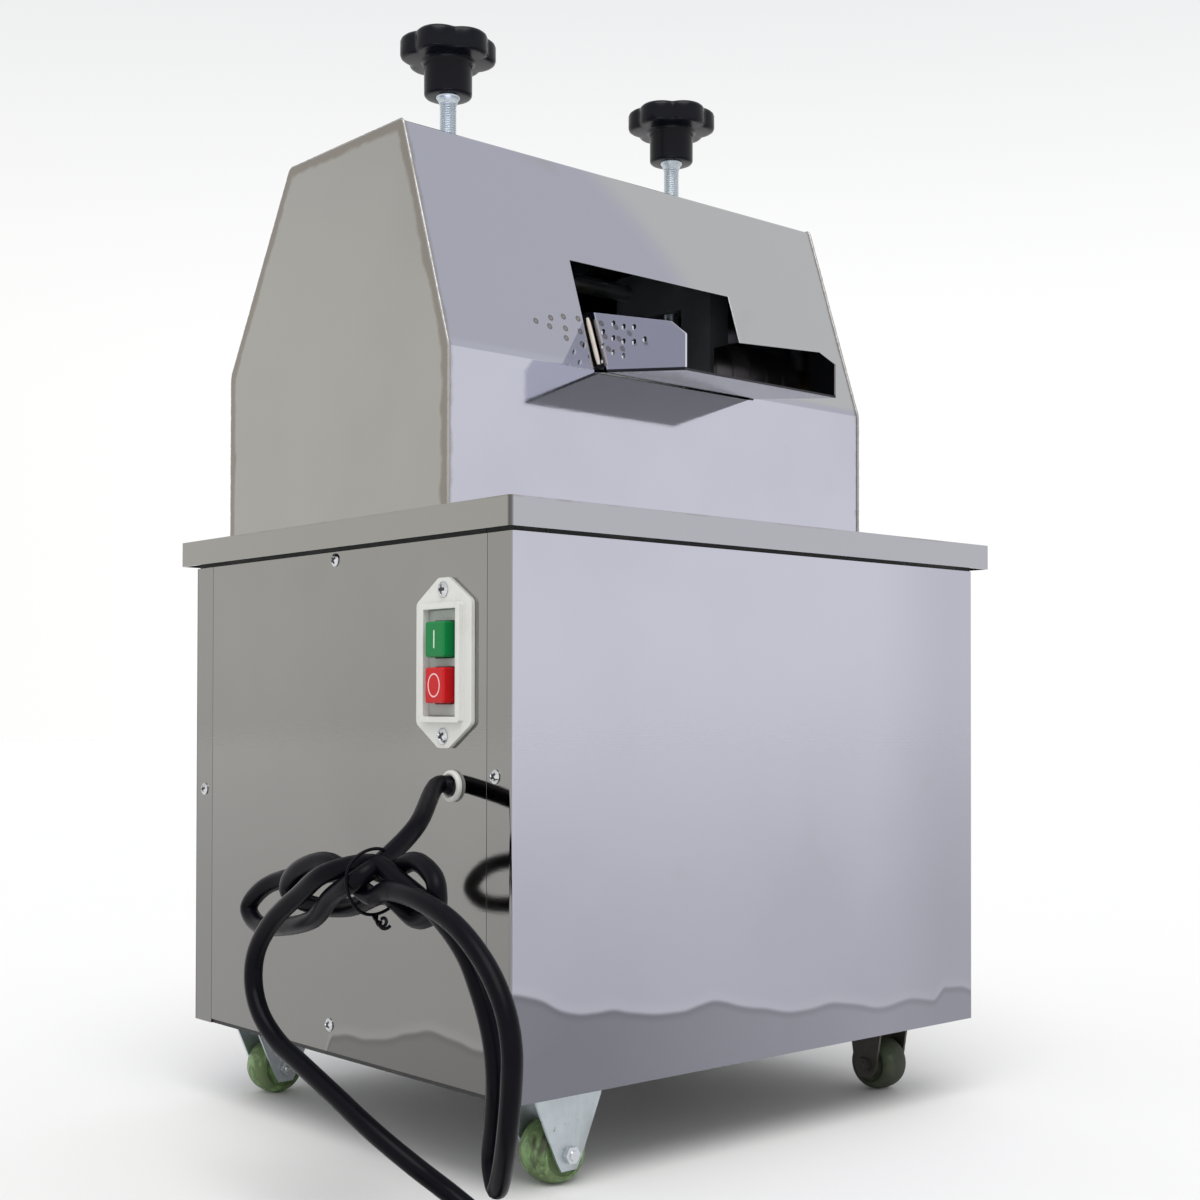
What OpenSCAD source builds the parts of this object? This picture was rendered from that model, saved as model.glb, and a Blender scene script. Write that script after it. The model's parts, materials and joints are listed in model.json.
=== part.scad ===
// Electric sugar cane juicer: a three-roller cane press in a folded sheet cabinet on casters.
// Millimetres, +Z up, the origin on the floor under the middle of the cabinet, -Y is the feed side.

/* [Cabinet] */
// Width of the cabinet
body_w = 446; // [440:1:452]
// Depth of the cabinet
body_d = 382; // [376:1:388]
// Height of the side panels
panel_h = 338.5; // [334:0.5:344]
// Overhang of the tabletop past the panels
table_lip = 9; // [6:1:12]
// Depth of the tabletop's folded edge
table_edge = 18; // [16:1:20]
// Width of the front and back panels' side flanges
flange_w = 24; // [22:1:27]

/* [Hood] */
// Distance from the cabinet's side to the hood's
hood_inset = 21; // [17:1:25]
// Height of the hood over the tabletop
hood_h = 266; // [262:1:272]
// Feed mouth, left edge
mouth_left = -77; // [-80:1:-75]
// Feed mouth, right edge
mouth_right = 81; // [80:1:84]

/* [Mill] */
// Radius of the three crushing rollers
roller_r = 32; // [30:0.5:34]
// Length of the rollers' working face
roller_l = 160; // [150:1:164]
// Teeth on each roller gear
gear_teeth = 22; // [20:1:24]

/* [Knobs and switch] */
// Diameter of a star knob over its lobes
knob_d = 70; // [64:1:74]
// Number of lobes on a star knob
knob_lobes = 6; // [5:1:8]
// Height of the switch plate
plate_h = 105; // [102:1:108]

/* [Casters] */
// Diameter of a caster wheel
wheel_d = 40; // [38:1:40]
// Width of a caster wheel
wheel_w = 26; // [20:1:28]

/* [Hidden] */
$fn = 64;

sheet = 1.5;
panel_t = 1.2;
caster_gap = 18;
panel_z = wheel_d + caster_gap;
panel_top = panel_z + panel_h;
side_z = panel_z + 3;
deck_z = panel_z + 2;
table_z = panel_top + 1.5 + table_edge;
half_w = body_w / 2;
half_d = body_d / 2;
post_w = 25;
post_t = 3;
screw_r = 2;

// Hood profile across Y and Z
hood_w = body_w - 2 * hood_inset;
hood_front = 94 - half_d;
hood_back = half_d - 11.5;
hood_z = table_z + hood_h;
front_kink_z = table_z + 108;
back_kink_z = table_z + 127;
hood_top_front = hood_front + 51.7;
hood_top_back = hood_back - 83.8;
bend_r = 3;

// Mill geometry
mill_y = hood_front + 122;
tray_z = table_z + 20;
tray_h = 30;
centre_gap = 2 * roller_r + 2;
roller_dy = roller_r + 5;
chute_clear = 10;
low_roller_z = tray_z + tray_h + 12.35 + roller_r;
top_roller_z = low_roller_z + sqrt(centre_gap * centre_gap - roller_dy * roller_dy);
mill_x = 112.5;
mill_t = 20;
mill_z = top_roller_z + 85;
mill_half_d = roller_dy + 18;
rod_dy = roller_dy + 6;
journal_r = 12.5;
running = 0.05;
gear_x = 124;
gear_w = 18;
sprocket_x = -140;
sprocket_w = 10;
block_z = top_roller_z - 16;
block_h = 32;
slot_z = top_roller_z - 25;
slot_top = top_roller_z + 47;
slot_w = 44;
pad_z = top_roller_z + 20.5;
thread_r = 6;

// Knobs
knob_z = table_z + 345.8;
knob_t = 16.7;
hub_z = table_z + 320;
hub_r = 17.5;

// Drive
drive_z = deck_z + 90;
reducer_y = mill_y + roller_dy;
motor_y = reducer_y - 157;
big_pulley_r = 50;
small_pulley_r = 26;
big_sprocket_r = 36;
small_sprocket_r = 24.5;
loop_gap = 0.4;

// Switch
switch_y = 64.4 - half_d;
switch_z = table_z - 96.5;
button_w = 19.5;
button_h = 22;
start_z = switch_z + 14.3;
stop_z = switch_z - 13.9;

// Juice pipe
pipe_x = 60;
pipe_y = mill_y + 32;
pipe_z = table_z - 66;
pipe_r = 13.5;
pipe_bend = 25;
pipe_tip = half_w + 13;

// Casters
bracket_x = 53 - half_w;
bracket_y = half_d - 26;
swivel_x = half_w - 35;
swivel_y = half_d - 46;
swivel_trail = 16;

// Cord, along its centre from the gland to the plug
cord_d = 11;
gland_y = 58 - half_d;
gland_z = panel_z + 186;
cord_points = [
    [-224, -133, 244], [-236, -133, 244], [-276, -171, 225], [-307, -186, 209], [-328, -190, 199],
    [-328, -163, 187], [-322, -134, 171], [-316, -92, 162], [-311, -54, 159], [-309, -38, 168],
    [-307, -52, 181], [-304, -77, 189], [-304, -123, 195], [-305, -163, 200], [-308, -187, 200],
    [-306, -210, 208], [-308, -230, 202], [-310, -237, 193], [-308, -232, 183], [-306, -212, 177],
    [-309, -187, 188], [-307, -150, 178], [-310, -116, 176], [-315, -95, 183], [-319, -112, 197],
    [-319, -147, 204], [-321, -189, 189], [-322, -209, 193], [-325, -242, 191], [-326, -275, 181],
    [-326, -300, 164], [-326, -315, 145], [-326, -321, 126], [-323, -317, 105], [-318, -308, 81],
    [-310, -294, 59], [-302, -279, 44], [-301, -273, 58], [-306, -282, 80], [-312, -291, 105],
    [-312, -287, 126], [-312, -277, 147], [-312, -263, 166], [-312, -237, 184], [-315, -209, 198],
    [-318, -188, 206], [-333, -164, 200], [-334, -138, 186], [-335, -111, 169], [-335, -93, 150],
    [-335, -89, 131], [-336, -99, 114], [-335, -117, 100], [-334, -140, 91], [-332, -170, 79],
    [-328, -203, 64], [-319, -229, 49], [-305, -248, 33], [-299, -272, 20], [-304, -294, 10],
    [-320, -309, 6], [-345, -310, 6], [-368, -298, 6], [-390, -276, 6]
];

// Screws on the side faces: Y, Z
side_screws = [
    [half_d - 13, panel_z + 173], [16 - half_d, panel_z + 193], [5, panel_z + 21], [0, table_z - 25.5]
];

function unit(v) = v / norm(v);
function half_angle(a, b, c) = acos(unit(a - b) * unit(c - b)) / 2;

// An arc of radius r in place of the corner b, between its neighbours a and c
function corner_arc(a, b, c, r, n = 4) =
    let (u = unit(a - b), v = unit(c - b), h = half_angle(a, b, c))
    let (p = b + u * r / tan(h), q = b + v * r / tan(h), o = b + unit(u + v) * r / sin(h))
    [for (i = [0:n]) o + r * unit((p - o) * (n - i) + (q - o) * i)];

function rounded(pts, r) = let (n = len(pts))
    [for (i = [0:n - 1]) each corner_arc(pts[(i + n - 1) % n], pts[i], pts[(i + 1) % n], r)];

// A convex outline moved inwards by t
function inset(pts, t) = let (n = len(pts))
    [for (i = [0:n - 1]) let (a = pts[(i + n - 1) % n], b = pts[i], c = pts[(i + 1) % n])
        b + unit(unit(a - b) + unit(c - b)) * t / sin(half_angle(a, b, c))];

module slab(lo, hi) { translate(lo) cube(hi - lo); }
module along_x(x0, x1) { translate([x0, 0, 0]) rotate([90, 0, 90]) linear_extrude(x1 - x0) children(); }
module along_y(y0, y1) { translate([0, y1, 0]) rotate([90, 0, 0]) linear_extrude(y1 - y0) children(); }
module rod_x(r, x0, x1, y, z) { translate([x0, y, z]) rotate([0, 90, 0]) cylinder(r = r, h = x1 - x0); }
module rod_y(r, y0, y1, x, z) { translate([x, y1, z]) rotate([90, 0, 0]) cylinder(r = r, h = y1 - y0); }
module rod_z(r, z0, z1, x, y) { translate([x, y, z0]) cylinder(r = r, h = z1 - z0); }
module mirrored(axis) {
    children();
    mirror(axis) children();
}

// ---------- cabinet ----------

module side_screw_holes(r) {
    for (p = side_screws) rod_x(r, -half_w - 5, -half_w + 14, p[0], p[1]);
    for (p = side_screws) rod_x(r, half_w - 14, half_w + 5, p[0], p[1]);
}

module corner_posts() {
    x = half_w - panel_t - 0.3;
    y = half_d - panel_t - 0.3;
    color("dimgray") difference() {
        mirrored([1, 0, 0]) mirrored([0, 1, 0]) {
            slab([x - post_t, y - post_w, deck_z], [x, y, table_z - sheet]);
            slab([x - post_w, y - post_t, deck_z], [x, y, table_z - sheet]);
        }
        side_screw_holes(screw_r + running);
    }
}

// Four bars between the posts: a web against the panels, and a foot
module rail_ring(z0, z1, foot_z) {
    x = half_w - panel_t - 0.3;
    y = half_d - panel_t - 0.3;
    clear = post_w + 0.5;
    mirrored([1, 0, 0]) {
        slab([x - post_t, clear - y, z0], [x, y - clear, z1]);
        slab([x - post_w, clear - y, foot_z], [x, y - clear, foot_z + post_t]);
    }
    mirrored([0, 1, 0]) {
        slab([clear - x, y - post_t, z0], [x - clear, y, z1]);
        slab([clear - x, y - post_w, foot_z], [x - clear, y, foot_z + post_t]);
    }
}

module base_rails() {
    color("dimgray") difference() {
        rail_ring(deck_z, deck_z + 30, deck_z);
        side_screw_holes(screw_r + running);
    }
}

module top_rails() {
    color("dimgray") difference() {
        rail_ring(table_z - 40, table_z - sheet, table_z - sheet - post_t);
        side_screw_holes(screw_r + running);
    }
}

module base_plate() {
    x = half_w - panel_t - 0.3;
    y = half_d - panel_t - 0.3;
    color("gray") slab([-x, -y, panel_z], [x, y, deck_z]);
}

module folded_panel() {
    out = half_w;
    inn = half_w - panel_t;
    front = -half_d;
    end = front + flange_w;
    outline = [
        [-out, end],
        each corner_arc([-out, end], [-out, front], [out, front], 2.4),
        each corner_arc([-out, front], [out, front], [out, end], 2.4),
        [out, end],
        [inn, end],
        each corner_arc([inn, end], [inn, front + panel_t], [-inn, front + panel_t], 1.2),
        each corner_arc([inn, front + panel_t], [-inn, front + panel_t], [-inn, end], 1.2),
        [-inn, end]
    ];
    difference() {
        translate([0, 0, panel_z]) linear_extrude(panel_top - panel_z) polygon(outline);
        side_screw_holes(screw_r + 0.2);
    }
}

module front_panel() { color("lightsteelblue") folded_panel(); }

module back_panel() {
    color("lightsteelblue") difference() {
        mirror([0, 1, 0]) translate([0, 0, panel_z]) linear_extrude(panel_top - panel_z) polygon([
            [-half_w, flange_w - half_d], [-half_w, -half_d], [half_w, -half_d], [half_w, flange_w - half_d],
            [half_w - panel_t, flange_w - half_d], [half_w - panel_t, panel_t - half_d],
            [panel_t - half_w, panel_t - half_d], [panel_t - half_w, flange_w - half_d]
        ]);
        side_screw_holes(screw_r + 0.2);
    }
}

module side_sheet(x0, x1) {
    y = half_d - flange_w - 0.4;
    slab([x0, -y, side_z], [x1, y, panel_top]);
}

module left_panel() {
    color("darkgray") difference() {
        side_sheet(-half_w, panel_t - half_w);
        side_screw_holes(screw_r + 0.2);
        switch_cutout(-half_w - 1, panel_t - half_w + 1);
        for (s = [-1, 1]) rod_x(screw_r + 0.2, -half_w - 1, panel_t - half_w + 1, switch_y, switch_z + s * 45);
        rod_x(8.2, -half_w - 1, panel_t - half_w + 1, gland_y, gland_z);
    }
}

module right_panel() {
    color("darkgray") difference() {
        side_sheet(half_w - panel_t, half_w);
        side_screw_holes(screw_r + 0.2);
        rod_x(pipe_r + 0.5, half_w - panel_t - 1, half_w + 1, pipe_y, pipe_z);
    }
}

module tabletop() {
    x = half_w + table_lip;
    y = half_d + table_lip;
    color("lightgray") difference() {
        translate([0, 0, table_z - table_edge]) linear_extrude(table_edge) polygon(
            rounded([[-x, -y], [x, -y], [x, y], [-x, y]], 2.4));
        slab([sheet - x, sheet - y, table_z - table_edge - 1], [x - sheet, y - sheet, table_z - sheet]);
        rod_z(pipe_r + 1.5, table_z - 5, table_z + 5, pipe_x, pipe_y);
        slab([sprocket_x - 6, reducer_y - 50, table_z - 5],
            [sprocket_x + sprocket_w + 6, reducer_y + 50, table_z + 5]);
    }
}

module pan_screw(head_r) {
    cylinder(r = screw_r, h = 9);
    translate([0, 0, -2.6]) cylinder(r = head_r - 1, h = 1);
    translate([0, 0, -1.6]) cylinder(r = head_r, h = 1.6);
}

module panel_screws() {
    color("silver") mirrored([1, 0, 0]) for (p = side_screws)
        translate([-half_w, p[0], p[1]]) rotate([0, 90, 0]) pan_screw(4.4);
    color("silver") for (z = [switch_z - 45, switch_z + 45])
        translate([-half_w - 3, switch_y, z]) rotate([0, 90, 0]) pan_screw(5);
}

// ---------- hood ----------

function hood_outline() = [
    [hood_front, table_z - 8], [hood_back, table_z - 8], [hood_back, back_kink_z],
    [hood_top_back, hood_z], [hood_top_front, hood_z], [hood_front, front_kink_z]
];

module hood_solid(t, r, x0, x1) {
    along_x(x0, x1) polygon(rounded(inset(hood_outline(), t), r));
}

module hood_wrap() {
    x = hood_w / 2 - sheet;
    color("silver") difference() {
        hood_solid(0.001, bend_r, -x, x);
        hood_solid(sheet, bend_r - sheet, -x - 1, x + 1);
        slab([-x - 1, hood_front - 1, table_z - 20], [x + 1, hood_back + 1, table_z]);
        slab([mouth_left, hood_front - 3, front_kink_z - 1.5],
            [mouth_right, hood_front + 37, front_kink_z + 81]);
        slab([-84, hood_back - 10, table_z + 55], [84, hood_back + 5, table_z + 120]);
        for (s = [-1, 1]) rod_z(8, hood_z - 10, hood_z + 5, s * mill_x, mill_y);
    }
}

module hood_end(x0, x1) {
    difference() {
        hood_solid(0.001, bend_r, x0, x1);
        slab([x0 - 1, hood_front - 1, table_z - 20], [x1 + 1, hood_back + 1, table_z]);
    }
}

module hood_left_end() { color("darkgray") hood_end(-hood_w / 2, sheet - hood_w / 2); }
module hood_right_end() { color("darkgray") hood_end(hood_w / 2 - sheet, hood_w / 2); }

// The chute's floor falls away from the hood, and its two side walls stand on it
module feed_chute() {
    z = front_kink_z;
    slope = 10.5 / 83;
    tip = hood_front - 83;
    root = hood_front + 37;
    wall = [
        [tip, z - 10], [root, z - 10 + slope * (root - tip)], [root, z + 43], [hood_front + 12, z + 43],
        [tip + 14, z + 23], [tip, z + 12.5]
    ];
    floor_line = [
        [tip, z - 11.5], [root, z - 11.5 + slope * (root - tip)], [root, z - 10 + slope * (root - tip)],
        [tip, z - 10]
    ];
    color("silver") {
        difference() {
            along_x(mouth_left + 6, mouth_left + 6 + sheet) polygon(wall);
            for (j = [0:4], i = [0:min(2, 4 - j)])
                rod_x(2, mouth_left + 4, mouth_left + 10, hood_front - 2 - j * 10.5,
                    z + 7 + i * 10 + (j % 2) * 4 + max(0, j - 2) * 4);
        }
        along_x(mouth_right - 3 - sheet, mouth_right - 3) polygon(wall);
        along_x(mouth_left + 6, mouth_right - 3) polygon(floor_line);
    }
}

module bagasse_chute() {
    z = table_z;
    root = mill_y + roller_dy + roller_r + chute_clear;
    tip = hood_back + 24.5;
    wall = [[root, z + 88], [tip, z + 60], [tip, z + 84], [tip - 32, z + 114], [root, z + 114]];
    floor_line = [[root, z + 86.5], [tip, z + 58.5], [tip, z + 60], [root, z + 88]];
    color("silver") {
        along_x(-82, sheet - 82) polygon(wall);
        along_x(82 - sheet, 82) polygon(wall);
        along_x(-82, 82) polygon(floor_line);
    }
}

// ---------- mill ----------

module mill_side_plates() {
    color("slategray") mirrored([1, 0, 0]) difference() {
        slab([mill_x - mill_t / 2, mill_y - mill_half_d, table_z],
            [mill_x + mill_t / 2, mill_y + mill_half_d, mill_z]);
        for (s = [-1, 1])
            rod_x(17, mill_x - mill_t, mill_x + mill_t, mill_y + s * roller_dy, low_roller_z);
        slab([mill_x - mill_t, mill_y - slot_w / 2, slot_z], [mill_x + mill_t, mill_y + slot_w / 2, slot_top]);
        rod_z(thread_r + running, slot_top - 5, mill_z + 5, mill_x, mill_y);
        for (s = [-1, 1])
            rod_x(4, mill_x - mill_t, mill_x + mill_t, mill_y + s * rod_dy, mill_z - 14);
    }
}

module tie_rods() {
    x = mill_x - mill_t / 2;
    color("silver") for (s = [-1, 1]) {
        rod_x(4, -x - mill_t - 6, x + mill_t + 6, mill_y + s * rod_dy, mill_z - 14);
        rod_x(7, -x, x, mill_y + s * rod_dy, mill_z - 14);
    }
}

module roller_bushes() {
    color("peru") mirrored([1, 0, 0]) for (s = [-1, 1]) difference() {
        rod_x(17, mill_x - mill_t / 2, mill_x + mill_t / 2, mill_y + s * roller_dy, low_roller_z);
        rod_x(journal_r + running, mill_x - mill_t, mill_x + mill_t, mill_y + s * roller_dy, low_roller_z);
    }
}

// A roller with its journals; the left end carries the sprocket on the driven one
module roller(y, z, left_end) {
    difference() {
        rod_x(roller_r, -roller_l / 2, roller_l / 2, y, z);
        for (x = [-60:20:60]) translate([x, y, z]) rotate([0, 90, 0]) difference() {
            cylinder(r = roller_r + 1, h = 2);
            translate([0, 0, -1]) cylinder(r = roller_r - 1.5, h = 4);
        }
    }
    rod_x(16, -mill_x + mill_t / 2 + 1, mill_x - mill_t / 2 - 1, y, z);
    rod_x(journal_r, -mill_x - mill_t / 2 - 1, gear_x, y, z);
    rod_x(11, left_end, gear_x + gear_w + 2, y, z);
}

module top_roller() { color("silver") roller(mill_y, top_roller_z, -mill_x - mill_t / 2 - 2); }
module front_roller() { color("silver") roller(mill_y - roller_dy, low_roller_z, -mill_x - mill_t / 2 - 2); }
module back_roller() { color("silver") roller(mill_y + roller_dy, low_roller_z, sprocket_x - 2); }

// A ring of straight-sided teeth, the first one at the angle phase
module toothed_disc(teeth, root_r, tip_r, root_half, tip_half, phase, bore) {
    half_root = atan(root_half / root_r);
    half_tip = atan(tip_half / tip_r);
    outline = [for (i = [0:teeth - 1], p = [[root_r, -half_root], [tip_r, -half_tip], [tip_r, half_tip],
        [root_r, half_root]]) let (a = phase + i * 360 / teeth + p[1]) p[0] * [cos(a), sin(a)]];
    difference() {
        polygon(outline);
        circle(r = bore);
    }
}

gear_pitch = 360 / gear_teeth;
gear_r = centre_gap / 2;
gear_module = centre_gap / gear_teeth;
front_angle = atan2(low_roller_z - top_roller_z, -roller_dy);
back_angle = atan2(low_roller_z - top_roller_z, roller_dy);
back_offset = (front_angle - back_angle + 720) % gear_pitch;

module roller_gear(y, z, phase) {
    translate([0, y, z]) along_x(gear_x, gear_x + gear_w)
        toothed_disc(gear_teeth, gear_r - 1.27 * gear_module, gear_r + 0.93 * gear_module, 0.86 * gear_module,
            gear_module / 3, phase, 11);
}

module top_gear() { color("gray") roller_gear(mill_y, top_roller_z, front_angle); }

module front_gear() {
    color("gray") roller_gear(mill_y - roller_dy, low_roller_z, front_angle + 180 + gear_pitch / 2);
}

module back_gear() {
    phase = back_angle + 180 - back_offset + gear_pitch / 2;
    color("gray") roller_gear(mill_y + roller_dy, low_roller_z, phase);
}

module bearing_blocks() {
    color("peru") mirrored([1, 0, 0]) difference() {
        slab([mill_x - mill_t / 2, mill_y - slot_w / 2 + 0.2, block_z],
            [mill_x + mill_t / 2, mill_y + slot_w / 2 - 0.2, block_z + block_h]);
        rod_x(journal_r + running, mill_x - mill_t, mill_x + mill_t, mill_y, top_roller_z);
    }
}

// A coil spring of round wire as one swept tube
module coil_spring(ring_r, wire_r, height, turns) {
    steps = 18 * turns;
    rise = height - 2 * wire_r;
    rings = [for (i = [0:steps]) let (a = 360 * turns * i / steps)
        [for (k = [0:7]) let (b = 45 * k, r = ring_r + wire_r * cos(b))
            [r * cos(a), r * sin(a), wire_r + rise * i / steps + wire_r * sin(b)]]];
    tube(rings);
}

module return_springs() {
    color("silver") for (s = [-1, 1]) translate([s * mill_x, mill_y, slot_z])
        coil_spring(7.5, 1.2, block_z - slot_z, 3);
}

module pressure_pad(s) {
    difference() {
        rod_z(9.5, pad_z, pad_z + 12, s * mill_x, mill_y);
        rod_z(thread_r + running, pad_z + 4, pad_z + 13, s * mill_x, mill_y);
    }
}

module left_pressure_pad() { color("gray") pressure_pad(-1); }
module right_pressure_pad() { color("gray") pressure_pad(1); }

module pressure_screw(s) {
    rod_z(thread_r, pad_z + 4.2, knob_z + 8, s * mill_x, mill_y);
    rod_z(9, hub_z - 6, hub_z, s * mill_x, mill_y);
}

module left_screw() { color("silver") pressure_screw(-1); }
module right_screw() { color("silver") pressure_screw(1); }

// A wavy outline with its lobes at the knob's full radius
function lobe(a) = pow((pow(cos(knob_lobes * a / 2), 2) + 0.02) / 1.02, 0.4);
function knob_outline() = [for (a = [0:3:357]) knob_d * (0.5 - 0.078 * (1 - lobe(a))) * [cos(a), sin(a)]];

module star_knob(s) {
    translate([s * mill_x, mill_y, 0]) difference() {
        union() {
            translate([0, 0, knob_z]) rotate([0, 0, 25.5 - s * 7.5]) linear_extrude(knob_t) polygon(knob_outline());
            translate([0, 0, hub_z]) cylinder(r = hub_r, h = knob_z - hub_z);
        }
        translate([0, 0, hub_z - 1]) cylinder(r = thread_r, h = knob_z + 9 - hub_z);
    }
}

module left_knob() { color([0.05, 0.05, 0.05]) star_knob(-1); }
module right_knob() { color([0.05, 0.05, 0.05]) star_knob(1); }

module turner_plate() {
    x = mill_x - mill_t / 2;
    z = low_roller_z;
    color("silver") along_x(-x, x) polygon([
        [mill_y - 2.5, z - 22], [mill_y + 2.5, z - 22], [mill_y + 2.5, z + 8], [mill_y + 5, z + 17],
        [mill_y - 5, z + 17], [mill_y - 2.5, z + 8]
    ]);
}

module juice_tray() {
    z = tray_z;
    x = roller_l / 2 + 18;
    y = roller_dy + roller_r + 4;
    color("silver") difference() {
        slab([-x, mill_y - y, z], [x, mill_y + y, z + tray_h]);
        slab([sheet - x, mill_y - y + sheet, z + sheet], [x - sheet, mill_y + y - sheet, z + tray_h + 1]);
        rod_z(pipe_r, z - 1, z + 3, pipe_x, pipe_y);
    }
}

// Down through the tabletop, round a bend and out of the right side
module pipe_solid(r, grow) {
    rod_z(r, pipe_z + pipe_bend, tray_z + sheet + grow, pipe_x, pipe_y);
    rod_x(r, pipe_x + pipe_bend, pipe_tip + grow, pipe_y, pipe_z);
    translate([pipe_x + pipe_bend, pipe_y, pipe_z + pipe_bend]) rotate([90, 0, 0])
        rotate([0, 0, 180]) rotate_extrude(angle = 90) translate([pipe_bend, 0]) circle(r = r);
}

module juice_pipe() {
    color("silver") difference() {
        pipe_solid(pipe_r, 0);
        pipe_solid(pipe_r - sheet, 1);
        difference() {
            rod_x(pipe_r + 1, pipe_tip - 12, pipe_tip + 1, pipe_y, pipe_z);
            rod_x(pipe_r - 0.2, pipe_tip - 13, pipe_tip + 2, pipe_y, pipe_z);
        }
    }
}

// ---------- drive ----------

function arc(r, a0, a1, n = 30) = [for (i = [0:n]) let (a = a0 + (a1 - a0) * i / n) r * [cos(a), sin(a)]];

// The outline round two circles, the second one at -d on the second axis
module loop_outline(r1, r2, d) {
    lean = asin((r2 - r1) / d);
    polygon([each arc(r1, lean, 180 - lean), for (p = arc(r2, 180 - lean, 360 + lean)) p - [0, d]]);
}

module loop_band(r1, r2, d, t) {
    difference() {
        loop_outline(r1 + t, r2 + t, d);
        loop_outline(r1, r2, d);
    }
}

module sprocket(r, x, y, z, teeth, bore) {
    translate([0, y, z]) along_x(x, x + sprocket_w) toothed_disc(teeth, r - 5, r, 4, 1.6, 0, bore);
}

module roller_sprocket() {
    color("dimgray") sprocket(big_sprocket_r, sprocket_x, reducer_y, low_roller_z, 18, 11);
}

module drive_chain() {
    color([0.3, 0.28, 0.25]) translate([0, reducer_y, low_roller_z])
        along_x(sprocket_x + 1, sprocket_x + sprocket_w - 1)
            loop_band(big_sprocket_r + loop_gap, small_sprocket_r + loop_gap, low_roller_z - drive_z, 7);
}

module reducer() {
    y = reducer_y;
    color("steelblue") difference() {
        union() {
            slab([-108, y - 50, drive_z - 56], [68, y + 50, drive_z + 56]);
            slab([-116, y - 58, deck_z], [76, y + 58, deck_z + 10]);
            slab([-80, y - 35, deck_z + 10], [40, y + 35, drive_z - 56]);
            rod_x(24, -114, 74, y, drive_z);
        }
        rod_x(10 + running, -115, -70, y, drive_z);
        rod_x(10 + running, 30, 75, y, drive_z);
    }
}

module reducer_sprocket() {
    color("dimgray") {
        sprocket(small_sprocket_r, sprocket_x, reducer_y, drive_z, 12, 9.9);
        rod_x(10, sprocket_x - 2, -72, reducer_y, drive_z);
    }
}

// A flat-bottomed pulley between two flanges, with its shaft
module pulley(r, x, y, shaft_r, shaft_from) {
    rod_x(r, x, x + 18, y, drive_z);
    rod_x(r + 6, x, x + 2, y, drive_z);
    rod_x(r + 6, x + 16, x + 18, y, drive_z);
    rod_x(shaft_r, shaft_from, x + 20, y, drive_z);
}

module reducer_pulley() { color("gray") pulley(big_pulley_r, 90, reducer_y, 10, 32); }
module motor_pulley() { color("gray") pulley(small_pulley_r, 90, motor_y, 8, 30); }

module drive_belt() {
    color([0.1, 0.1, 0.1]) translate([0, reducer_y, drive_z]) rotate([-90, 0, 0])
        along_x(93, 105) loop_band(big_pulley_r + loop_gap, small_pulley_r + loop_gap, reducer_y - motor_y, 5);
}

module motor() {
    color("steelblue") difference() {
        union() {
            rod_x(60, -85, 55, motor_y, drive_z);
            rod_x(52, -112, 70, motor_y, drive_z);
            slab([-70, motor_y - 62, deck_z], [40, motor_y + 62, deck_z + 8]);
            slab([-60, motor_y - 20, deck_z + 8], [30, motor_y + 20, drive_z - 40]);
            slab([-45, motor_y - 30, drive_z + 40], [25, motor_y + 30, drive_z + 85]);
        }
        rod_x(8 + running, 28, 71, motor_y, drive_z);
    }
}

// ---------- switch ----------

module switch_cutout(x0, x1) {
    slab([x0, switch_y - 16.5, switch_z - 33], [x1, switch_y + 16.5, switch_z + 33]);
}

module switch_plate() {
    h = plate_h / 2;
    y = switch_y;
    z = switch_z;
    outline = [
        [y - 28.5, z - h + 15], [y - 5.5, z - h], [y + 5.5, z - h], [y + 28.5, z - h + 15],
        [y + 28.5, z + h - 15], [y + 5.5, z + h], [y - 5.5, z + h], [y - 28.5, z + h - 15]
    ];
    frame = [[y - 20.5, z - 36.7], [y + 20.5, z - 36.7], [y + 20.5, z + 36.7], [y - 20.5, z + 36.7]];
    color("ivory") difference() {
        union() {
            along_x(-half_w - 3, -half_w) polygon(rounded(outline, 4));
            along_x(-half_w - 6.5, -half_w - 3) polygon(rounded(frame, 2));
        }
        switch_cutout(-half_w - 12, 1 - half_w);
        for (s = [-1, 1]) rod_x(screw_r + 0.2, -half_w - 5, 1 - half_w, y, z + s * 45);
    }
}

module switch_body() {
    color("gainsboro") difference() {
        slab([-half_w - 2, switch_y - 16.2, switch_z - 32.7], [-half_w + 34, switch_y + 16.2, switch_z + 32.7]);
        for (z = [start_z, stop_z])
            slab([-half_w - 3, switch_y - button_w / 2 - 0.4, z - button_h / 2 - 0.4],
                [-half_w + 16, switch_y + button_w / 2 + 0.4, z + button_h / 2 + 0.4]);
    }
}

module button(z) {
    slab([-half_w - 10, switch_y - button_w / 2, z - button_h / 2],
        [-half_w + 10, switch_y + button_w / 2, z + button_h / 2]);
}

module start_button() { color("seagreen") button(start_z); }
module stop_button() { color("firebrick") button(stop_z); }

// ---------- cord ----------

module tube(rings) {
    n = len(rings);
    m = len(rings[0]);
    sides = [for (i = [0:n - 2], k = [0:m - 1])
        [i * m + k, i * m + (k + 1) % m, (i + 1) * m + (k + 1) % m, (i + 1) * m + k]];
    caps = [[for (k = [m - 1:-1:0]) k], [for (k = [0:m - 1]) (n - 1) * m + k]];
    polyhedron([for (r = rings, p = r) p], concat(sides, caps), convexity = 10);
}

// A ring frame carried along a route without twist
function carried(side, t) = unit(side - t * (side * t));
function route_sides(route, i, side) = i == len(route) ? [] :
    let (a = route[max(i - 1, 0)], b = route[min(i + 1, len(route) - 1)], s = carried(side, unit(b - a)))
    concat([s], route_sides(route, i + 1, s));

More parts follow.
